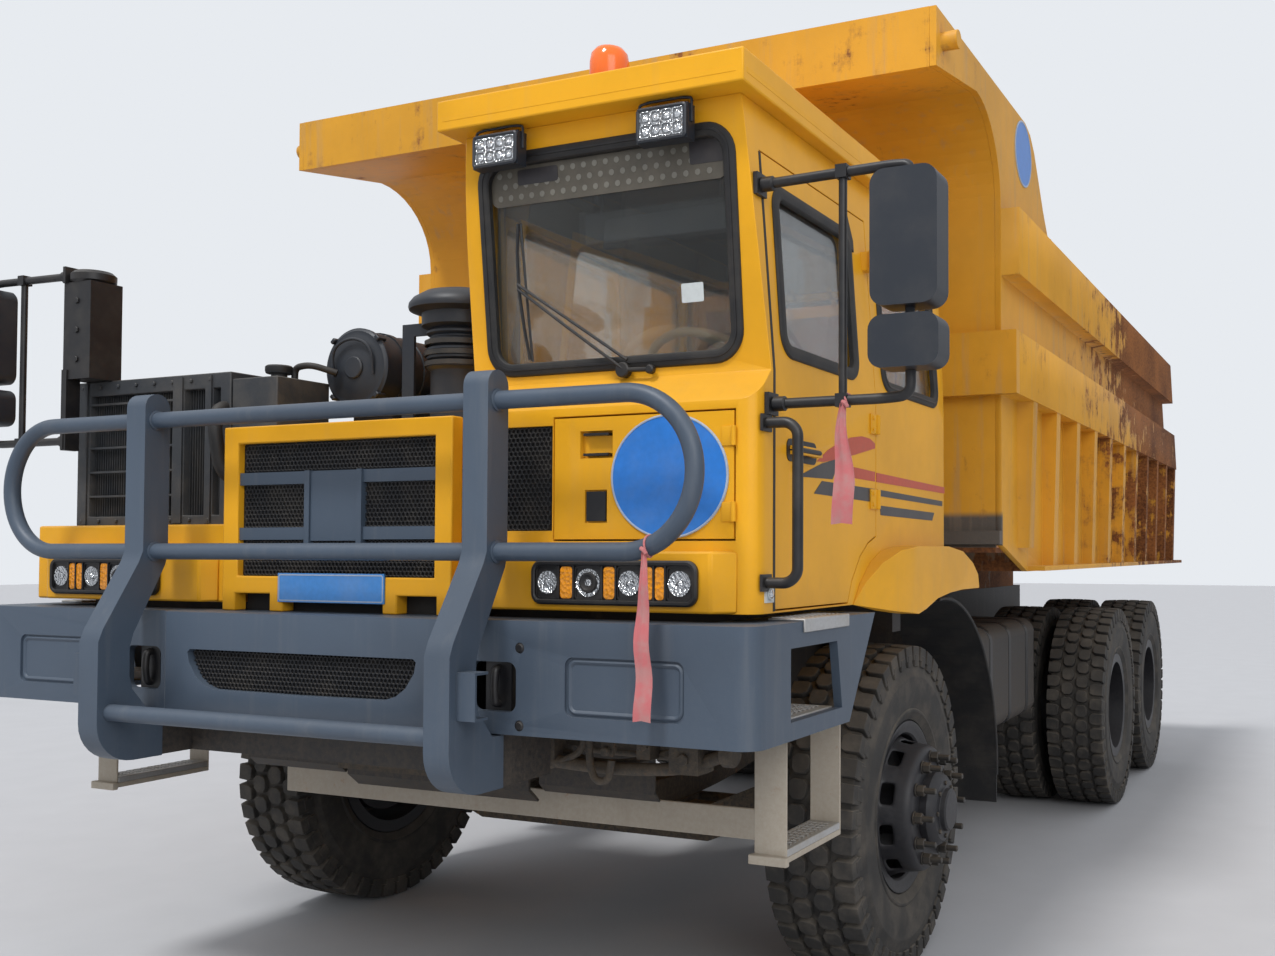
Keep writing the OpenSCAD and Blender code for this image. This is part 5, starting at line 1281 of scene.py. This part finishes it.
def on_rim(degrees, r, z):
    a = math.radians(degrees)
    return wheel_at(r * math.cos(a), r * math.sin(a), z)


Shape().tube([wheel_at(230 * math.cos(a), 230 * math.sin(a), 232) for a in circle(48)], 32, 14, loop=True).done(
    "steering_wheel_rim", tan_plastic, slot="cab_plastic", replaces=("steering_wheel",))
s = Shape()
for a in (90, 210, 330):
    s.tube([on_rim(a, 20, 246), on_rim(a, 120, 244), on_rim(a, 224, 234)], 24, 12)
s.tube([wheel_at(0, 0, 232), wheel_at(0, 0, 258)], 110, 28)
s.done("steering_wheel_spokes", cab_plastic, slot="cab_plastic")
s = Shape()
for y, z in (((-1450, 236), (1612, 2350)), ((-1450, 236), (2926, 3096)), ((-1450, -1326), (2350, 2926)),
             ((-124, 236), (2350, 2926))):
    s.block((541, 546), y, z, 1.5, 1)
for x, z in (((545, 1545), (1612, 2350)), ((545, 1530), (2926, 3096)), ((545, 674), (2350, 2926)),
             ((1426, 1535), (2350, 2926))):
    s.block(x, (233, 238), z, 1.5, 1)
s.done("cab_lining", lining_gray, slot="cab_plastic")
s = Shape()
s.block((1560, 1566), (-1440, -640), (1830, 2345), 2, 1)
s.block((1558, 1562), (-1380, -800), (1900, 2200), 3, 2)
s.done("door_lining", lining_gray, body="cab_door", slot="cab_plastic")
s = Shape()
s.tube([(1545, 240, 2330), (1545, 240, 3080)], 40, 10)
s.tube([(545, -60, 2330), (545, -60, 3080)], 36, 10)
s.block((940, 1320), (-600, -180), (1601, 1640), 10, 2)
s.tube([(960, -560, 1640), (1300, -200, 1900)], 26, 10)
s.tube([(960, -200, 1640), (1300, -560, 1900)], 26, 10)
s.done("seat_stand", cab_plastic, slot="cab_plastic")


# Seat: pads blown up by cloth simulation, with sewn channels
BLOW_LIMIT, PRESSURE, CLOTH_FRAMES, CHANNEL_WIDTH = 0.020, 4.0, 20, 0.009


def places_of(mesh, count):
    flat = np.empty(count * 3)
    mesh.vertices.foreach_get("co", flat)
    return flat.reshape(-1, 3)


def cushion(name, shape, channels, replaces=()):
    """A pad from a plain shape; channels are (axis, place in metres, depth)"""
    obj = link(name, mesh_from(shape.bm, name))
    remesh = obj.modifiers.new("even", "REMESH")
    remesh.mode, remesh.voxel_size = "VOXEL", 0.012
    bpy.context.view_layer.update()
    even = evaluated(obj)
    obj.modifiers.clear()
    obj.data = even
    start = places_of(even, len(even.vertices))
    end = start
    cloth = obj.modifiers.new("cloth", "CLOTH")
    cloth.settings.use_pressure = True
    cloth.settings.uniform_pressure_force = PRESSURE
    cloth.settings.effector_weights.gravity = 0.0
    cloth.point_cache.frame_start, cloth.point_cache.frame_end = 1, CLOTH_FRAMES
    scene = bpy.context.scene
    for frame_no in range(1, CLOTH_FRAMES + 1):
        scene.frame_set(frame_no)
    step = places_of(evaluated(obj), len(even.vertices)) - start
    obj.modifiers.clear()
    scene.frame_set(1)
    far = np.linalg.norm(step, axis=1, keepdims=True)
    end = start + step * np.minimum(1.0, BLOW_LIMIT / np.maximum(far, 1e-9))
    for axis, place, depth in channels:
        middle = (end.min(axis=0) + end.max(axis=0)) / 2
        near = np.exp(-((end[:, axis] - place) / CHANNEL_WIDTH) ** 2)[:, None] * depth
        end = end - np.sign(end - middle) * near * np.array([0.0, 1.0, 1.0])
    even.vertices.foreach_set("co", end.ravel())
    even.update()
    finish = finish_mesh(name + "_cover", even, seat_cover, "root", replaces, 180)
    bpy.data.objects.remove(obj, do_unlink=True)
    smoothed(finish)


s = Shape()
s.block((895, 1365), (-726, -206), (1946, 2042), 30, 4)
cushion("seat_pad", s, [(0, 1.045, 0.007), (0, 1.215, 0.007)], ("seat_pads",))
s = Shape()
s.prism([(-176, 2092), (-174, 2120), (-110, 2764), (-24, 2764), (-60, 2080), (-76, 2070), (-150, 2070)], "X",
        (908, 1352), 26, 4)
cushion("seat_back", s, [(0, 1.045, 0.007), (0, 1.215, 0.007), (2, 2.50, 0.006)])


# Ribbons: one tied on the guard's loop, one on the lower mirror arm; neither bears letters
def ribbon(name, spine, notch):
    """spine rows are (x, y, z, width, fold); the strip hangs with its face towards -Y"""
    part, cols, last = bmesh.new(), 9, len(spine) - 1
    layers = []
    for lift in (0.0, 1.4):
        rows = []
        for i, (x, y, z, w, fold) in enumerate(spine):
            row = []
            for k in range(cols):
                t = k / (cols - 1) - 0.5
                dip = notch * (1 - abs(2 * t)) if i == last else 0.0
                row.append(part.verts.new(at(x + t * w, y - lift - fold * math.cos(3.0 * math.pi * t), z + dip)))
            rows.append(row)
        layers.append(rows)
    back, front = layers
    for i in range(last):
        for k in range(cols - 1):
            part.faces.new((front[i][k], front[i + 1][k], front[i + 1][k + 1], front[i][k + 1]))
            part.faces.new((back[i][k], back[i][k + 1], back[i + 1][k + 1], back[i + 1][k]))
        for k in (0, cols - 1):
            part.faces.new((front[i][k], back[i][k], back[i + 1][k], front[i + 1][k]))
    for i in (0, last):
        for k in range(cols - 1):
            part.faces.new((front[i][k], front[i][k + 1], back[i][k + 1], back[i][k]))
    area = sum(f.calc_area() for f in part.faces) / 2
    obj = Shape().take(part).done(name, ribbon_cloth, slot="seat_fabric", angle=80)
    length = sum((at(*a[:3]) - at(*b[:3])).length for a, b in zip(spine, spine[1:]))
    width = max(r[3] for r in spine) / 1000
    return obj, width, length, min(area, width * length)


def tie(name, x, y, z, tube):
    """The knot's loop round a level tube along X"""
    s = Shape()
    r = tube / 2 + 3
    s.tube([(x + 3 * math.sin(2 * a), y + r * math.cos(a), z + r * math.sin(a)) for a in circle(24)], 7, 8, loop=True)
    front = y - tube / 2
    s.tube([(x - 9, front - 6, z - 6), (x + 2, front - 10, z - 12), (x + 8, front - 6, z - 22)], 13, 8)
    return s.done(name, ribbon_cloth, slot="seat_fabric")


def widening(k, narrow, wider, rows):
    """A ribbon's width at row k: gathered at the knot, full after some rows"""
    return narrow + wider * min(1, k / rows)


spine = [(1361 + 4 * math.sin(0.02 * k * 26), -1818 + 4 * math.cos(k * 0.9), 1738 - 26 * k,
          widening(k, 16, 34, 9.0) + 10 * min(1, max(0, k - 9) / 9.0), 4 - 2.4 * min(1, k / 12)) for k in range(20)]
tied = tie("guard_ribbon_knot", 1361, GUARD_Y, 1755, 58)
obj, width, length, area = ribbon("guard_ribbon", spine, 5)
spine = [(1874 - 5 * math.sin(0.5 * k), -1541 + 3 * math.cos(k * 0.8), 2180 - 24 * k,
          widening(k, 20, 48, 10.0), 6 - 4 * min(1, k / 12)) for k in range(16)]
tied = tie("mirror_ribbon_knot", 1880, MIRROR_Y, 2190, 32)
obj, width, length, area = ribbon("mirror_ribbon", spine, 4)

# Tanks: straps, end seams and filler caps
s = Shape()
for sign in (1, -1):
    outline = rounded_outline(sided(sign, 460, 1440), (740, 1330), 90, 8)
    for y in (1650, 2050, 2450):
        s.band(outline, behind(y), [(-1, -26), (4, -24), (4, 24), (-1, 26)])
    for y in (1456, 2644):
        s.band(outline, behind(y), [(-4, -7), (0, -6), (0, 6), (-4, 7)])
    s.lathe([(0, 1328), (56, 1328), (58, 1336), (58, 1356), (50, 1364), (0, 1366)], "Z", (sign * 1280, 1560, 0), 32)
s.done("tank_straps", black_metal, slot="chassis_black")

# Hoses and brackets that hang behind the bumper
s = Shape()
for k, (a, b, low) in enumerate(((-640, -240, 1010), (-380, 160, 960), (60, 420, 1000), (300, 820, 940),
                                 (560, 1180, 985), (900, 1330, 1020))):
    y = -1330 + 55 * (k % 3)
    s.tube([(a, y, 1168), (a, y, (1168 + low) / 2), ((a + b) / 2, y + 30, low), (b, y + 20, (1168 + low) / 2),
            (b, y, 1168)], 24, 10, fillet=150)
for x in (-560, 250, 640, 980):
    s.block((x - 22, x + 22), (-1420, -1405), (1060, 1172), 4, 1)
    s.rod("Y", (x, -1412, 1078), (-30, 30), 30, 12, edge=3)
s.block((-900, 1200), (-1460, -1400), (1120, 1172), 8, 2)
s.tube([(380, -1290, 1060), (620, -1300, 1010), (900, -1290, 992), (1180, -1280, 1008), (1330, -1270, 1060)], 44, 14,
       fillet=140)
s.tube([(-420, -1230, 1085), (1370, -1230, 1080)], 60, 18)
s.tube([(860, -1345, 1168), (860, -1345, 1020), (884, -1345, 958), (938, -1345, 962), (950, -1345, 1034)], 26, 12,
       fillet=34)
s.tube([(620, -1180, 1165), (700, -1180, 1040), (1230, -1170, 1030), (1300, -1170, 1120)], 36, 12, fillet=60)
for x, w, low in ((660, 42, 1015), (1215, 55, 1000), (-300, 40, 1030), (1060, 26, 1040)):
    s.block((x - w, x + w), (-1325, -1215), (low, 1150), 12, 3)
    s.rod("Y", (x, -1328, low + 50), (-8, 8), 44, 6, edge=3)
s.rod("X", (0, -1300, 1078), (1352, 1400), 92, 24, edge=8)
s.done("front_hoses", steel_paint, slot="axle_steel")

# Belly guard under the engine, and the pins at the bed's rails
s = Shape()
s.prism([(-1120, 1165), (-1120, 850), (-1060, 800), (-1052, 806), (-1108, 856), (-1108, 1165)],
        "X", (-440, 440), 3, 1)
for x in (-300, 0, 300):
    s.block((x - 14, x + 14), (-1126, -1118), (870, 1150), 3, 1)
for sign in (1, -1):
    s.prism([(-1118, 1165), (-1118, 880), (-1080, 846), (-1074, 851), (-1108, 884), (-1108, 1165)], "X",
            sided(sign, 486, 980), 3, 1)
s.done("belly_guard", black_paint, slot="chassis_black")
s = Shape()
for sign in (1, -1):
    s.rod("X", (0, 1570, 3397), sided(sign, 1727, 1800), 34, 16, edge=3)
s.done("rail_pins", bed_paint, body="bed", slot="bed_paint")


# Floor and light
def studio():
    floor, half = bpy.data.meshes.new("floor"), 60.0
    floor.from_pydata([(x * half, y * half, 0) for x, y in ((-1, -1), (1, -1), (1, 1), (-1, 1))], [], [(0, 1, 2, 3)])
    obj = link("floor", floor)
    mat, n, inputs = new_material("pale floor", {"Roughness": 0.9, "Specular IOR Level": 0.1})
    n.put(inputs["Base Color"], n.mix(n.noise(n.place(), 3.0, 6.0), rgb(0.46, 0.46, 0.47), rgb(0.51, 0.51, 0.52)))
    floor.materials.append(mat)
    world = bpy.data.worlds.new("studio")
    bpy.context.scene.world = world
    world.use_nodes = True
    w = Nodes(world.node_tree)
    back = world.node_tree.nodes["Background"].inputs
    path = w.add("ShaderNodeLightPath").outputs
    seen = w.math("MAXIMUM", path["Is Camera Ray"], path["Is Transmission Ray"])
    up = w.split(w.place("Generated"))["Z"]
    sky = w.mix(w.ramp(up, -0.05, 0.6), rgb(0.44, 0.45, 0.47), rgb(0.74, 0.77, 0.82))
    w.put(back["Color"], w.mix(seen, sky, rgb(0.80, 0.83, 0.87)))
    back["Strength"].default_value = 1.0
    for label, kind, place, aim, power, size in (("key", "SUN", (-2, -7, 13), (0, 0, 1), 1.9, 0.20),
                                                 ("fill", "AREA", (8, -11, 7), (0.5, -3, 1.5), 430, 7.0)):
        lamp = bpy.data.lights.new(label, kind)
        lamp.energy = power
        setattr(lamp, "angle" if kind == "SUN" else "size", size)
        o = link(label, lamp)
        o.location = place
        o.rotation_euler = (Vector(aim) - Vector(place)).to_track_quat("-Z", "Y").to_euler()
    bpy.context.scene.view_settings.view_transform = "Standard"


studio()

for unit in units:
    bpy.data.objects.remove(unit, do_unlink=True)
